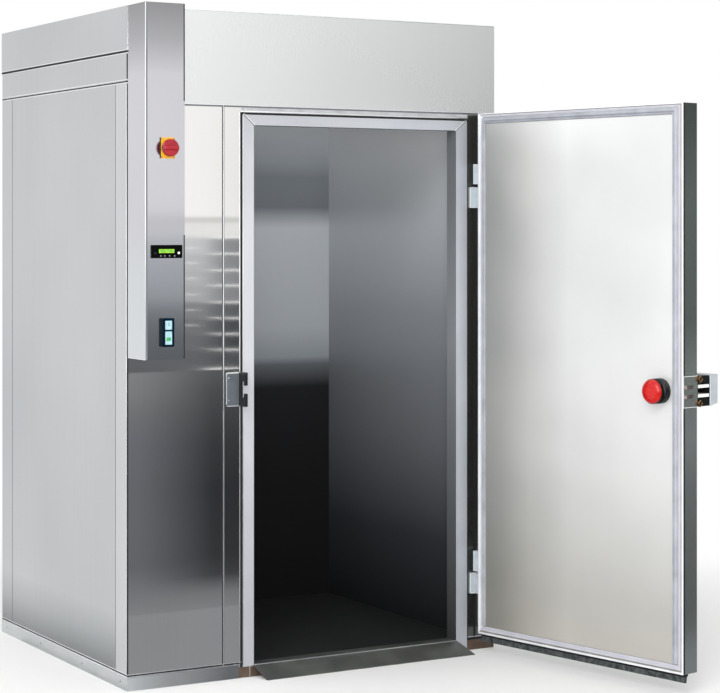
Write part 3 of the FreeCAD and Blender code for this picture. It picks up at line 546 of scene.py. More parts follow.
finishes = {
    "left_wall_panel": sideSheet, "right_wall_panel": sideSheet, "back_wall_panel": backSheet,
    "rear_posts": sideSheet, "front_left_panel": frontSheet, "latch_jamb_panel": frontSheet,
    "hinge_jamb_panel": hingeJambSheet, "header_panel": frontSheet, "roof_panel": sideSheet,
    "floor_panel": floorSheet, "plinth_trim": plinthTrim, "crown_front": crownSheet,
    "crown_surround": sideSheet, "door_frame": frameProfile, "ramp": rampPlate,
    "strike_plate": strikeSheet, "strike_hooks": keeperCast, "control_column": columnSheet,
    "switch_plate": yellowAbs, "switch_dial": dialAbs, "controller_bezel": glossBlack,
    "controller_display": lcdGlass, "control_board": boardLacquer, "key_standby": whiteKey,
    "key_light": blackAbs, "key_cycle": silverKey, "key_down": silverKey, "key_up": silverKey,
    "key_set": silverKey, "station_bezel": navyAbs, "start_key": windowAcrylic,
    "stop_key": windowAcrylic, "hinge_frame_leaves": greyEnamelOrHighlight, "hinge_door_leaves": greyEnamelOrHighlight,
    "hinge_pins": groundSteel, "door_outer_skin": doorSkin, "door_core": doorSkin,
    "door_inner_liner": linerSheet, "door_edge_profile": whitePvc, "door_gasket": greyRubber,
    "sweep_holder": blackSealOrShade, "sweep_rubber": blackRubber, "latch_edge_plate": doorSkin,
    "latch_body": blackAbs, "latch_bars": whiteEnamelOrHighlight, "latch_handle": greyAbs,
    "latch_bolts": dullBolt, "knob_collar": blackAbs, "emergency_knob": redAbs,
    "release_rod": groundSteel, "evaporator_coil": coilFins, "drip_tray": trimSheet,
    "refrigerant_pipes": drawnCopper, "junction_box": greyAbs, "fan_baffle": trimSheet,
    "fan_motors": blackAbs, "fan_rotor_low": blackAbs, "fan_rotor_mid": blackAbs,
    "fan_rotor_high": blackAbs, "fixing_screws": screwSteel,
}
for nodeName, finish in finishes.items():
    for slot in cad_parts[nodeName].material_slots:
        slot.material = finish
print("materials made:", len(bpy.data.materials))

# ---- mesh helpers


def makePiece(name, mesh, body, material, turn=standing, smooth=35):
    data = bpy.data.meshes.new(name)
    mesh.transform(turn)
    bmesh.ops.recalc_face_normals(mesh, faces=mesh.faces)
    mesh.to_mesh(data)
    mesh.free()
    piece = bpy.data.objects.new(name, data)
    bpy.context.scene.collection.objects.link(piece)
    for item in material if isinstance(material, list) else [material]:
        data.materials.append(item)
    data.shade_smooth()
    data.set_sharp_from_angle(angle=math.radians(smooth))
    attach(piece, body)
    return piece


def addBlock(mesh, low, high, ease=0.0, steps=2, slot=0):
    # low and high in mm; ease rounds every edge
    start, end = place(*low), place(*high)
    made = bmesh.ops.create_cube(mesh, size=1.0)
    corners = made["verts"]
    bmesh.ops.scale(mesh, vec=end - start, verts=corners)
    bmesh.ops.translate(mesh, vec=(start + end) / 2, verts=corners)
    faces = {face for corner in corners for face in corner.link_faces}
    for face in faces:
        face.material_index = slot
    if ease:
        edges = {edge for corner in corners for edge in corner.link_edges}
        bmesh.ops.bevel(
            mesh, geom=list(edges), offset=ease / 1000, segments=steps, profile=0.5, affect="EDGES",
            material=slot,
        )


def addTurned(mesh, profile, centre, axis, steps=48, slot=0):
    # profile is (radius, distance along the axis) in mm, from a point on the axis
    turn = Vector((0, 0, 1)).rotation_difference(Vector(axis)).to_matrix().to_4x4()
    turn = Matrix.Translation(place(*centre)) @ turn
    rings = []
    for radius, along in profile:
        if radius == 0:
            rings.append([mesh.verts.new(turn @ Vector((0, 0, along / 1000)))])
            continue
        ring = []
        for step in range(steps):
            angle = 2 * math.pi * step / steps
            spot = Vector((math.cos(angle) * radius, math.sin(angle) * radius, along)) / 1000
            ring.append(mesh.verts.new(turn @ spot))
        rings.append(ring)
    for lower, upper in zip(rings, rings[1:]):
        for step in range(steps):
            after = (step + 1) % steps
            corners = [lower[step % len(lower)], lower[after % len(lower)]]
            corners += [upper[after % len(upper)], upper[step % len(upper)]]
            unique = list(dict.fromkeys(corners))
            if len(unique) > 2:
                mesh.faces.new(unique).material_index = slot


def addPrism(mesh, outline, low, high, slot=0):
    # an outline of (x, z) in mm, drawn out from y low to y high
    ends = [[mesh.verts.new(place(x, y, z)) for x, z in outline] for y in (low, high)]
    faces = [ends[0], ends[1][::-1]]
    for i in range(len(outline)):
        j = (i + 1) % len(outline)
        faces.append([ends[0][j], ends[0][i], ends[1][i], ends[1][j]])
    for corners in faces:
        mesh.faces.new(corners).material_index = slot


def makeStrips(name, strips, body, material, turn=standing, ease=0.0):
    mesh = bmesh.new()
    for low, high in strips:
        addBlock(mesh, low, high, ease, 2 if ease > 0.8 else 1)
    return makePiece(name, mesh, body, material, turn)


# ---- panel joints: a bead of sealant in each joint between the foam panels

joints = {
    "beadMm": 3.0, "proudMm": 0.5, "sunkMm": 2, "wideMm": 1495, "deepMm": 1215, "footMm": 50,
    "sideTopMm": 2074, "backTopMm": 2081, "sideDepths": (105, 1105), "backPlaces": (75, 1420),
}


def makeJoints():
    half, proud, sunk = joints["beadMm"] / 2, joints["proudMm"], joints["sunkMm"]
    wide, deep, foot = joints["wideMm"], joints["deepMm"], joints["footMm"]
    sideTop, backTop = joints["sideTopMm"], joints["backTopMm"]
    strips = []
    for y in joints["sideDepths"]:
        strips.append(((-proud, y - half, foot), (sunk, y + half, sideTop)))
        strips.append(((wide - sunk, y - half, foot), (wide + proud, y + half, sideTop)))
    for x in joints["backPlaces"]:
        strips.append(((x - half, deep - sunk, foot), (x + half, deep + proud, backTop)))
    strips.append(((0, deep - sunk, backTop - half), (wide, deep + proud, backTop + half)))
    makeStrips("panelSealant", strips, "cabinet", sealant, ease=0.4)


makeJoints()

# ---- seams: dark strips of painted shade in the gaps, bright rolled edges beside them, and black lines that are partly joints and partly painted shade

seams = {
    "gaps": [
        ((364.6, -0.4, 50), (366.4, 1, 2010)), ((443.8, -0.4, 1994), (446.2, 1, 2010)),
        ((1351.8, -0.4, 1994), (1354.2, 1, 2010)), ((145, -1.4, 2004.5), (1495, 1, 2010)),
        ((2.2, -146.5, 1139), (7.4, -144, 2339)),
    ],
    "edges": [
        ((360.8, -1.6, 50), (364.2, 1, 2010)), ((446.2, -1.4, 1994), (449.4, 1, 2010)),
        ((425.8, -1.4, 50), (428.4, 1, 1987)), ((437, -2.9, 42), (440.4, 1, 1981)),
        ((434, -1.6, 1987.5), (1379, 1, 1993.5)), ((-0.9, -146, 1137.6), (1, -1, 1140.6)),
        ((-0.8, -147.2, 1139), (2.2, -144, 2339)),
        ((145, -5.2, 2009.2), (1497, -2, 2012.4)), ((145, -5.2, 2336.5), (1497, -2, 2340.6)),
    ],
    # black lines, partly joints and partly painted shade in gaps and under the crown's overhang
    "seals": [
        ((357.8, -0.6, 50), (360.8, 1, 2010)), ((428.4, -0.8, 38), (438.2, 3, 1987)),
        ((428.4, -0.8, 1980), (1379, 3, 1987.5)), ((445, -2.3, 1979.6), (1369, -1.5, 1983)),
        ((1375.8, -0.8, 38), (1380.5, 3, 1987)), ((1406, -0.8, 38), (1415, 3, 212)),
        ((1406, -0.8, 290), (1415, 3, 1655)), ((1406, -0.8, 1733), (1415, 3, 1990)),
        ((141, -146.6, 1139), (145.3, -144, 1558)), ((141, -146.6, 2010), (145.3, -144, 2339)),
        ((-0.6, -0.5, 57.5), (2, 8, 1139)), ((-0.6, 0, 1139), (1, 9, 2339)),
    ],
    # the same on both side walls: at the wall's top, and where the crown's hem ends
    "sideEdges": [
        ((-3.4, 0, 2187.4), (1, 1215, 2191)), ((-1.5, 0, 2177), (1, 1215, 2181)),
        ((-1.5, 0, 2085), (1, 1215, 2089)), ((-1.5, 0, 2074.5), (1, 1215, 2078)),
        ((-1, 9, 57.5), (1, 14, 2074)),
    ],
    "sideDarkLines": [((-2.9, 0, 2181), (1, 1215, 2187.4)), ((-0.7, 0, 2079), (1, 1215, 2083))],
}


def bothSides(strips):
    width = 2 * cornerMm.x
    mirrored = [
        ((width - x1, y0, z0), (width - x0, y1, z1)) for (x0, y0, z0), (x1, y1, z1) in strips
    ]
    return strips + mirrored


seams["edges"] += bothSides(seams["sideEdges"])
seams["seals"] += bothSides(seams["sideDarkLines"])
makeStrips("frontSeamGaps", seams["gaps"], "cabinet", seamPaintedShade)
makeStrips("rolledSeamEdges", seams["edges"], "cabinet", rolledEdge, ease=1.1)
makeStrips("frameJointAndShadeLines", seams["seals"], "cabinet", blackSealOrShade, ease=0.3)
makeStrips("headerPaintedShade", [((434, -0.9, 1994), (1379, 1, 2004))], "cabinet", palePaintedShade, ease=0.3)

# ---- mitres of the door frame: a dark line where two lengths meet, and a white strip beside it, a painted highlight

mitres = {
    "halfWidthMm": 1.3, "frontMm": -2.3, "backMm": -1.5,
    "lines": [((482, 1943), (438, 1983)), ((1327, 1943), (1376, 1983))],
    "edges": [((485.6, 1943), (442.6, 1982)), ((1323.4, 1943), (1371.4, 1982))],
}


def makeMitres(name, lines, material):
    mesh = bmesh.new()
    for (x0, z0), (x1, z1) in lines:
        reach = math.hypot(x1 - x0, z1 - z0) / mitres["halfWidthMm"]
        dx, dz = (z1 - z0) / reach, (x0 - x1) / reach
        outline = [(x0 - dx, z0 - dz), (x1 - dx, z1 - dz), (x1 + dx, z1 + dz), (x0 + dx, z0 + dz)]
        addPrism(mesh, outline, mitres["frontMm"], mitres["backMm"])
    makePiece(name, mesh, "cabinet", material)


makeMitres("frameMitreLines", mitres["lines"], blackSealOrShade)
makeMitres("frameMitrePaintedHighlights", mitres["edges"], whiteEnamelOrHighlight)

# ---- foot of the cabinet: plinth hems, the floor panel's bare edge, and the sill's nosing

foot = {
    "hems": [
        ((-3.2, -3.2, 46.5), (424, 1, 50.5)), ((-3.2, -3.2, 46.5), (1, 1218, 50.5)),
        ((0, -1.2, 54.5), (434, 1, 57.5)), ((-1.2, 0, 54.5), (1, 1215, 57.5)),
        ((482, -3.4, 39.5), (1327, 1, 43.5)),
    ],
    "beads": [((-0.7, -0.7, 50.5), (434, 1, 54.5)), ((-0.7, -0.7, 50.5), (1, 1215, 54.5))],
    "edgeBand": [((422, -0.9, 1), (1495, 1, 37))],
    "gapUnderJamb": [((1378, -0.9, 38), (1495, 1, 47))],
    "edgeUnderJamb": [((1380.5, -1.1, 47), (1495, 1, 50.5)), ((464, -1.6, 3), (468, 1, 38))],
}
makeStrips("plinthHems", foot["hems"], "cabinet", rolledEdge, ease=1.2)
makeStrips("plinthSealBead", foot["beads"], "cabinet", blackSealOrShade, ease=0.4)
makeStrips("floorEdgeBand", foot["edgeBand"], "cabinet", floorPly, ease=0.4)
# a black strip under the jamb: painted shade in the gap above the floor
makeStrips("jambFootShadeGap", foot["gapUnderJamb"], "cabinet", blackSealOrShade, ease=0.4)
makeStrips("jambFootEdge", foot["edgeUnderJamb"], "cabinet", rolledEdge, ease=0.6)

# ---- strike plate: pale strips round it and beside the hooks, painted highlights on its edges, and a white strip along its top, a painted reflection

strike = {
    "lip": [((373, -3.8, 962), (375.2, -2, 1073)), ((376, -3.8, 955.6), (431, -2, 958))],
    "top": [((376, -3.9, 1071), (433, -2, 1074.2))],
    "strip": [((433.2, -3.6, 956), (437.6, -1, 1074))],
}
makeStrips("strikePaintedEdgeHighlight", strike["lip"], "cabinet", greyEnamelOrHighlight, ease=0.5)
makeStrips("strikeTopPaintedReflection", strike["top"], "cabinet", whiteEnamelOrHighlight, ease=0.5)
makeStrips("strikeSidePaintedHighlight", strike["strip"], "cabinet", greyEnamelOrHighlight, ease=0.5)

# ---- hinge leaves on the frame: a white strip along three sides of each, a painted highlight on their edges

leafBorder = {
    "tops": (289, 1732), "leftMm": 1387.2, "sideEndMm": 1389.6, "rightMm": 1440, "frontMm": -8.9,
    "backMm": -7,
    # heights from the leaf's top, low end and high end
    "side": (-76, 0.6), "upper": (-2, 0.6), "lower": (-76.6, -74),
}


def makeLeafBorders():
    left, front, back = leafBorder["leftMm"], leafBorder["frontMm"], leafBorder["backMm"]
    strips = []
    for top in leafBorder["tops"]:
        for line, end in (("side", "sideEndMm"), ("upper", "rightMm"), ("lower", "rightMm")):
            low, high = leafBorder[line]
            strips.append(((left, front, top + low), (leafBorder[end], back, top + high)))
    makeStrips("hingeLeafPaintedHighlights", strips, "cabinet", whiteEnamelOrHighlight, ease=0.5)


makeLeafBorders()
print("joints and seams made")

# ---- door rim: a moulded edge profile with a groove, and a gasket with a bulb and a lip

rim = {
    # offset inwards as a share of each side's width, y in mm with the door shut, and material slot
    "edge": [(0, -14, 0), (0, -11.4, 0), (0.05, -10.2, 0), (0.14, -9.9, 0), (0.26, -9.9, 2),
             (0.3, -11.8, 2), (0.42, -11.8, 2), (0.46, -10.1, 1), (0.7, -9.9, 1), (0.74, -10.6, 1),
             (0.78, -9.9, 1), (0.95, -10, 1), (1, -11.4, 1), (1, -14, 1)],
    "edgeSides": (20, 14, 27, 30), "edgeBox": (435, 63, 1405, 1994),
    "gasket": [(0, -12.4, 0), (0.02, -9.4, 0), (0.1, -8.6, 0), (0.14, -5.6, 0), (0.24, -3.4, 0),
               (0.36, -2.6, 0), (0.48, -3.3, 0), (0.56, -5.6, 0), (0.6, -8.8, 0), (0.7, -9.2, 0),
               (0.74, -6.4, 0), (0.82, -5.4, 0), (0.9, -6.6, 0), (0.96, -9.6, 0), (1, -12.4, 0)],
    "gasketSides": (24, 24, 17, 0), "gasketBox": (456, 97, 1383, 1979),
}


def makeRim(name, profile, sides, box, closed, materials, replaced):
    left, bottom, right, top = box
    wide, over, far, under = sides
    mesh = bmesh.new()
    corners = []
    for share, y, _ in profile:
        x0, x1 = left + share * wide, right - share * far
        z0, z1 = bottom + share * under, top - share * over
        ring = [(x0, y, z0), (x0, y, z1), (x1, y, z1), (x1, y, z0)]
        corners.append([mesh.verts.new(place(*spot)) for spot in ring])
    for step, near in enumerate(corners):
        after = corners[(step + 1) % len(corners)]
        for i in range(4 if closed else 3):
            j = (i + 1) % 4
            face = mesh.faces.new([near[i], near[j], after[j], after[i]])
            # the hinge side, the third one, is white throughout
            face.material_index = 0 if i == 2 else profile[step][2]
    if not closed:
        mesh.faces.new([ring[0] for ring in corners])
        mesh.faces.new([ring[3] for ring in corners])
    piece = makePiece(name, mesh, "door", materials, doorOpen, 50)
    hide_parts(replaced)


makeRim(
    "doorEdgeMoulding", rim["edge"], rim["edgeSides"], rim["edgeBox"], True,
    [whitePvc, lilacPvc, greyGrooveTone], "door_edge_profile",
)
makeRim(
    "doorBulbGasket", rim["gasket"], rim["gasketSides"], rim["gasketBox"], False,
    [greyRubber], "door_gasket",
)

# ---- lines on the door: a black strip of painted shade along the skin's edge beside the latch, and darker grey lines along the liner's edges

doorEdgeLines = {
    "strips": [((434.3, -21, 64), (436, -13.6, 963)), ((434.3, -21, 1069), (436, -13.6, 1993))],
    "linerLine": [((454.6, -12.6, 92), (456.2, -11.9, 1981)), ((479.8, -12.6, 95), (481.6, -11.9, 1956)),
                  ((1364, -12.6, 95), (1366, -11.9, 1956)), ((455, -12.6, 92.4), (1378, -11.9, 94.4))],
}
makeStrips("skinEdgePaintedShade", doorEdgeLines["strips"], "door", blackSealOrShade, doorOpen, 0.3)
makeStrips("linerEdgeLine", doorEdgeLines["linerLine"], "door", greyGrooveTone, doorOpen, 0.0)
print("door rim made")

# ---- keys, window and latch details

details = {
    "lens": [((68.3, -168.2, 1202), (84, -167, 1213.5))],
    "marks": [((73.5, -168, 1252), (79.5, -167, 1255)), ((74.5, -168, 1257), (78.5, -167, 1263))],
    "handleEdge": [((432.8, -155.5, 965), (434.2, -153.2, 1067))],
    "plateEdges": [((433, -87.4, 962.4), (434.8, -14.5, 964.2)),
                   ((433, -87.4, 1067.4), (434.8, -14.5, 1069.2))],
}
makeStrips("stopKeyLens", details["lens"], "stop_key", keyGreen, ease=0.3)
makeStrips("startKeyMarks", details["marks"], "start_key", keyInk, ease=0.2)
# white strips along the latch plate's edges and the handle's edge: painted highlights
makeStrips("latchPlatePaintedHighlights", details["plateEdges"], "door", whiteEnamelOrHighlight, doorOpen, 0.3)
makeStrips("handlePaintedHighlight", details["handleEdge"], "latch_handle", whiteEnamelOrHighlight, doorOpen, 0.3)

segments = {
    "rows": (1499.4, 1504.6), "columns": 13, "startMm": 51, "pitchMm": 4.1, "wideMm": 3.1,
    "highMm": 3.4, "frontMm": -149.7, "backMm": -149.2,
}


def makeSegments():
    # two rows of plain blocks with gaps, as unlit characters on the window
    wide, high, front, back = (segments[key] for key in ("wideMm", "highMm", "frontMm", "backMm"))
    mesh = bmesh.new()
    for row, z in enumerate(segments["rows"]):
        for column in range(segments["columns"]):
            x = segments["startMm"] + column * segments["pitchMm"]
            if (column * 5 + row * 3) % 7:
                addBlock(mesh, (x, front, z), (x + wide, back, z + high))
    makePiece("displaySegments", mesh, "cabinet", lcdInk)


makeSegments()

rosette = {
    "heights": (975, 1057), "outMm": 433.8, "depthMm": -93, "corners": 4,
    "border": [(12.2, 8.4), (11.8, 9.4), (10.2, 9.5), (9.6, 8.8)],
    "sides": [(0, 0), (12.2, 0), (12.2, 8.4)], "face": [(9.6, 8.8), (4, 10.2), (0, 10.4)],
}


def makeRosettes():
    # a brass diamond over each boss of the latch, with a bronze face inside its border
    mesh = bmesh.new()
    for z in rosette["heights"]:
        centre = (rosette["outMm"], rosette["depthMm"], z)
        for part, slot in (("border", 0), ("sides", 1), ("face", 1)):
            addTurned(mesh, rosette[part], centre, (-1, 0, 0), rosette["corners"], slot)
    makePiece("latchRosettes", mesh, "door", [castBrass, darkBronze], doorOpen, 30)


makeRosettes()
print("details made")

# ---- emergency release knob inside the door

knob = {"centreMm": (532, 0, 1016), "backMm": 17.5, "radiusMm": 41.5}


def makeKnob():
    r = knob["radiusMm"]
    x, y, z = knob["centreMm"]
    mesh = bmesh.new()
    profile = [(0, 0), (20, 0), (20, 8), (r - 6, 8.5), (r - 2, 10.5), (r, 14), (r - 0.3, 18), (r - 2.5, 23)]
    profile += [(r - 7, 27.5), (r - 14, 31), (r - 23, 33.2), (r - 32, 34), (0, 34.2)]
    addTurned(mesh, profile, (x, knob["backMm"], z), (0, 1, 0), 64)
    piece = makePiece("emergencyKnobHead", mesh, "release", redAbs, doorOpen, 60)
    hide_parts("emergency_knob")
    # a black ring round the head's widest part: painted shade for its outline
    ring = bmesh.new()
    outline = [(r - 1, 11.5), (r + 1.1, 11.5), (r + 1.1, 16.5), (r - 1, 16.5), (r - 1, 11.5)]
    addTurned(ring, outline, (x, knob["backMm"], z), (0, 1, 0), 64)
    makePiece("emergencyKnobShadeRing", ring, "release", blackAbs, doorOpen, 40)


makeKnob()
print("knob turned")

# ---- main switch dial: a dark skirt ring, a disc standing off it, and a grip across the disc

dial = {
    "centreMm": (81.5, -148.5, 1850.5),
    "skirt": [(0, 0), (23, 0), (21, 6), (21, 19), (0, 19)],
    "disc": [(0, 18), (27.5, 18), (29, 19.5), (29, 27), (27.5, 29), (0, 29)],
    "rim": [(28, 18.4), (29.4, 18.4), (29.4, 20.6), (28, 20.6), (28, 18.4)],
    "grip": ((54, -184, 1843), (109.5, -170, 1858)),
    "plateLine": [((53.6, -149.6, 1815), (55.6, -146, 1886))],
}


def makeDial():
    mesh = bmesh.new()
    forward = (0, -1, 0)
    addTurned(mesh, dial["disc"], dial["centreMm"], forward, 64)
    addBlock(mesh, *dial["grip"], ease=5, steps=3)
    addTurned(mesh, dial["skirt"], dial["centreMm"], forward, 64, 1)
    addTurned(mesh, dial["rim"], dial["centreMm"], forward, 64, 1)
    piece = makePiece("mainSwitchDial", mesh, "switch_dial", [dialAbs, blackAbs], smooth=40)
    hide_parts("switch_dial")
    # a black strip down the plate's left side: painted shade
    makeStrips("switchPlateSideShade", dial["plateLine"], "cabinet", blackSealOrShade, ease=0.3)


makeDial()

# ---- studio: pale floor, soft light, and grey cards in front that the steel mirrors

studio = {
    "floor": ("#f1f1ef", "#f7f7f6"), "floorHalf": 30, "worldLevel": 0.95, "fadeFrom": 1.6,
    "fadeTo": 3.2, "aimAt": (0.2, 0, 1.1),
    "keyAt": (-4.5, -6.0, 5.5), "keySize": 4.0, "keyWatts": 250,
    "fillAt": (-2.6, -5.8, 1.9), "fillSize": 2.0, "fillWatts": 90,
}


def makeFloor():
    mesh = bmesh.new()
    bmesh.ops.create_grid(mesh, x_segments=1, y_segments=1, size=studio["floorHalf"])
    data = bpy.data.meshes.new("studioFloor")
    mesh.to_mesh(data)
    mesh.free()
    floor = bpy.data.objects.new("studioFloor", data)
    bpy.context.scene.collection.objects.link(floor)
    material, tree, shader = startMaterial("paintedStudioFloor", {"Roughness": 0.7})
    spot = addNode(tree, "ShaderNodeTexCoord").outputs["Object"]
    drift = addNode(tree, "ShaderNodeTexNoise", {"Scale": 0.3, "Detail": 2.0}, {"Vector": spot})
    colour = addNode(tree, "ShaderNodeValToRGB", None, {"Fac": drift.outputs["Fac"]})
    setRamp(colour, [(0.3, studio["floor"][0]), (0.7, studio["floor"][1])])
    tree.links.new(colour.outputs["Color"], shader.inputs["Base Color"])
    # far from the object the floor turns to plain white light, so no horizon shows
    distance = addNode(tree, "ShaderNodeVectorMath", {"operation": "LENGTH"}, {0: spot})
    share = addNode(
        tree, "ShaderNodeMapRange",
        {"interpolation_type": "SMOOTHSTEP",
         "From Min": studio["fadeFrom"], "From Max": studio["fadeTo"]},
        {"Value": distance.outputs["Value"]},
    )
    white = addNode(tree, "ShaderNodeEmission", {"Color": (1, 1, 1, 1), "Strength": 1.0})
    both = addNode(
        tree, "ShaderNodeMixShader", None,
        {0: share.outputs[0], 1: shader.outputs["BSDF"], 2: white.outputs[0]},
    )
    tree.links.new(both.outputs[0], tree.nodes["Material Output"].inputs["Surface"])
    data.materials.append(material)


def makeCard(name, faces, stops, axis, level=1.0, other=None):
    # a card that only mirrors see: its tones run along one axis, from its low end to its high end,
    # and where it has other stops it turns to them between two places in x
    mesh = bmesh.new()
    for corners in faces:
        mesh.faces.new([mesh.verts.new(corner) for corner in corners])
    data = bpy.data.meshes.new(name)
    mesh.to_mesh(data)
    mesh.free()
    card = bpy.data.objects.new(name, data)
    bpy.context.scene.collection.objects.link(card)
    material = bpy.data.materials.new(name + "Cloth")
    material.use_nodes = True
    tree = material.node_tree
    tree.nodes.clear()
    spot = addNode(tree, "ShaderNodeTexCoord").outputs["Object"]
    parts = addNode(tree, "ShaderNodeSeparateXYZ", None, {0: spot}).outputs
    reach = [corner[axis] for corners in faces for corner in corners]
    share = addNode(
        tree, "ShaderNodeMapRange", {"From Min": min(reach), "From Max": max(reach)},
        {"Value": parts[axis]},
    )
    tone = addNode(tree, "ShaderNodeValToRGB", None, {"Fac": share.outputs[0]})
    setRamp(tone, stops)
    tone = tone.outputs["Color"]
    if other:
        second = addNode(tree, "ShaderNodeValToRGB", None, {"Fac": share.outputs[0]})
        setRamp(second, other["stops"])
        blend = addNode(
            tree, "ShaderNodeMapRange", {"From Min": other["from"], "From Max": other["to"]},
            {"Value": parts[0]},
        )
        tone = addNode(
            tree, "ShaderNodeMix", {"data_type": "RGBA"},
            {0: blend.outputs[0], 6: tone, 7: second.outputs["Color"]},
        ).outputs[2]
    glow = addNode(tree, "ShaderNodeEmission", {"Strength": level}, {"Color": tone})
    output = addNode(tree, "ShaderNodeOutputMaterial")
    tree.links.new(glow.outputs[0], output.inputs["Surface"])
    data.materials.append(material)
    card.visible_camera = False
    card.visible_diffuse = False
    card.visible_shadow = False


def upright(x0, y0, x1, y1, low, high):
    return [[(x0, y0, low), (x1, y1, low), (x1, y1, high), (x0, y0, high)]]


slats = {
    # the cloth stands in the plane y = slope * x - setBack, from left to right and low to high
    "slope": 0.6, "setBack": 5.1252, "left": 0.561, "right": 1.887, "low": 0.433, "high": 1.635,
    # heights of the slats, of the short ends beside them, and where each begins and ends in x
    "heights": (1.524, 1.435, 1.345, 1.261, 1.17, 1.083, 0.997, 0.911, 0.803),
    "dashes": (1.466, 1.385, 1.301, 1.212, 1.128, 1.044),
    "slatFrom": 1.370, "dashFrom": 1.256, "dashTo": 1.287, "slatHalf": 0.0029, "dashHalf": 0.0031,
    "lowest": (1.352, 1.887, 0.803, 0.0065), "proud": 0.005, "turnFrom": 1.329, "turnTo": 1.419,
    # the grey above each slat and below the last one, at the slats and where the cloth is plain
    "between": (255, 150, 148, 150, 144, 98, 76, 72, 82, 86),
    "plain": (255, 222, 208, 200, 190, 144, 128, 118, 108, 104),
    "shade": [(0.972, "#ffffff"), (0.978, "#e2e2e1"), (1.0, "#e6e6e5")], "softShare": 0.008,
}


def grey(level):
    return "#%02x%02x%02x" % (level, min(255, level + 2), min(255, level + 6))


def slattedStops(levels):
    low, high, soft = slats["low"], slats["high"], slats["softShare"]
    stops = []
    for z, above, below in zip(slats["heights"], levels, levels[1:]):
        share = (z - low) / (high - low)
        stops += [(share + soft, grey(above)), (share - soft, grey(below))]
    return stops[::-1] + slats["shade"]


def slatPlane(x):
    return slats["slope"] * x - slats["setBack"]


def makeSlats():
    # narrow bright edges just in front of the cloth: short ends on its left, long slats on its right
    proud = slats["proud"]
    faces = []
    spans = [(slats["dashFrom"], slats["dashTo"], z, slats["dashHalf"]) for z in slats["dashes"]]
    spans += [(slats["slatFrom"], slats["right"], z, slats["slatHalf"]) for z in slats["heights"]]
    for x0, x1, z, half in spans + [slats["lowest"]]:
        faces += upright(x0, slatPlane(x0) + proud, x1, slatPlane(x1) + proud, z - half, z + half)
    makeCard("slatEdges", faces, [(0.0, "#ffffff"), (1.0, "#ffffff")], 2, 1.7)


makeFloor()
makeCard(
    "brightUpperCard", upright(-1, -8.9, 10, -8.9, 1.5, 7),
    [(0.0, "#ffffff"), (0.42, "#ffffff"), (0.56, "#c0c1c2"), (1.0, "#b0b2b4")], 0, 1.17,
)
makeCard(
    "farLowerCard", upright(0, -8.8, 9, -8.8, 0, 1.5), [(0.0, "#3c3d40"), (1.0, "#8a8c8f")], 2,
)
slatEnds = [value for x in (slats["left"], slats["right"]) for value in (x, slatPlane(x))]
makeCard(
    "slattedNearCard", upright(*slatEnds, slats["low"], slats["high"]),
    slattedStops(slats["plain"]), 2,
    other={
        "stops": slattedStops(slats["between"]), "from": slats["turnFrom"], "to": slats["turnTo"],
    },
)
makeSlats()
lowShades = {
    "left": [(0.0, "#8f9294"), (0.08, "#82858a"), (0.2, "#6e7076"), (0.5, "#717379"),
             (0.7, "#757880"), (0.82, "#7c7f82"), (0.92, "#898b8e"), (1.0, "#8d8f92")],
    "right": [(0.0, "#8c8e90"), (0.067, "#7e8083"), (0.14, "#46474a"), (0.22, "#393a3d"),
              (0.5, "#343539"), (0.7, "#3e3f42"), (0.82, "#4a4b4e"), (0.92, "#525457"),
              (1.0, "#5f6164")],
}
makeCard(
    "lowFrontCard", upright(-1.6, -1.85, 5, -1.85, 0, 0.99), lowShades["left"], 2,
    other={"stops": lowShades["right"], "from": -0.16, "to": 0.18},
)
# a grey card on the floor that only the steel mirrors: a painted reflection of the floor near the cabinet
makeCard(
    "floorReflectionCard", [[(-0.78, -1.9, 0.002), (3, -1.9, 0.002), (3, 0.4, 0.002), (-0.78, 0.4, 0.002)]],
    [(0.0, "#9a9da0"), (1.0, "#8a8d90")], 0,
)
makeCard(
    "darkSideCard", upright(5.5, -6.5, 5.5, -1.5, 0, 3.2),
    [(0.0, "#5c6662"), (0.5, "#6c7672"), (1.0, "#4c5652")], 2,
)

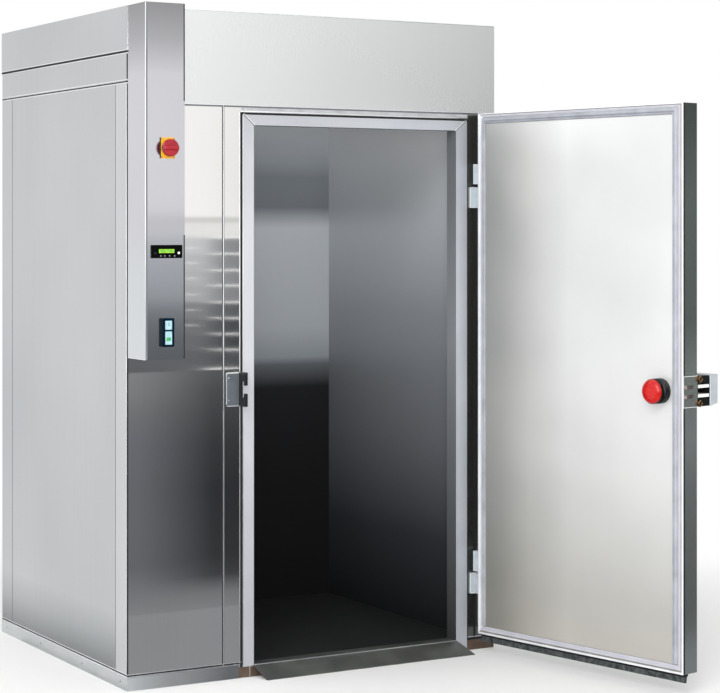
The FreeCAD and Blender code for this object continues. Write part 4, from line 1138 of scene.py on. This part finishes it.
world = bpy.data.worlds.new("softStudio")
bpy.context.scene.world = world
world.use_nodes = True
worldTree = world.node_tree
worldTree.nodes.clear()
rays = addNode(worldTree, "ShaderNodeLightPath")
seen = addNode(
    worldTree, "ShaderNodeMath", {"operation": "MAXIMUM"},
    {0: rays.outputs["Is Camera Ray"], 1: rays.outputs["Is Glossy Ray"]},
)
seen = addNode(
    worldTree, "ShaderNodeMath", {"operation": "MAXIMUM"},
    {0: seen.outputs[0], 1: rays.outputs["Is Transmission Ray"]},
)
strength = addNode(
    worldTree, "ShaderNodeMapRange", {"To Min": studio["worldLevel"], "To Max": 1.0},
    {"Value": seen.outputs[0]},
)
background = addNode(
    worldTree, "ShaderNodeBackground", {"Color": (1, 1, 1, 1)}, {"Strength": strength.outputs[0]}
)
worldOutput = addNode(worldTree, "ShaderNodeOutputWorld")
worldTree.links.new(background.outputs[0], worldOutput.inputs["Surface"])


def makeLamp(name, at, size, watts):
    light = bpy.data.lights.new(name, "AREA")
    light.shape = "DISK"
    light.size = size
    light.energy = watts
    lamp = bpy.data.objects.new(name, light)
    lamp.location = at
    aim = Vector(studio["aimAt"]) - Vector(at)
    lamp.rotation_euler = aim.to_track_quat("-Z", "Y").to_euler()
    bpy.context.scene.collection.objects.link(lamp)


makeLamp("softKey", studio["keyAt"], studio["keySize"], studio["keyWatts"])
makeLamp("doorwayFill", studio["fillAt"], studio["fillSize"], studio["fillWatts"])

scene = bpy.context.scene
scene.view_settings.view_transform = "Standard"

# ---- camera: level, at eye height, shifted down as the photograph is framed

view = {"at": (-3.6049, -7.1228, 1.5903), "turnDegrees": -30.07, "lens": 103.70, "shiftDown": -0.1684}
cameraData = bpy.data.cameras.new("photographView")
cameraData.sensor_width = 36
cameraData.lens = view["lens"]
cameraData.shift_y = view["shiftDown"]
camera = bpy.data.objects.new("photographView", cameraData)
camera.location = view["at"]
camera.rotation_euler = (math.radians(90), 0, math.radians(view["turnDegrees"]))
scene.collection.objects.link(camera)
scene.camera = camera
print("studio and camera set")
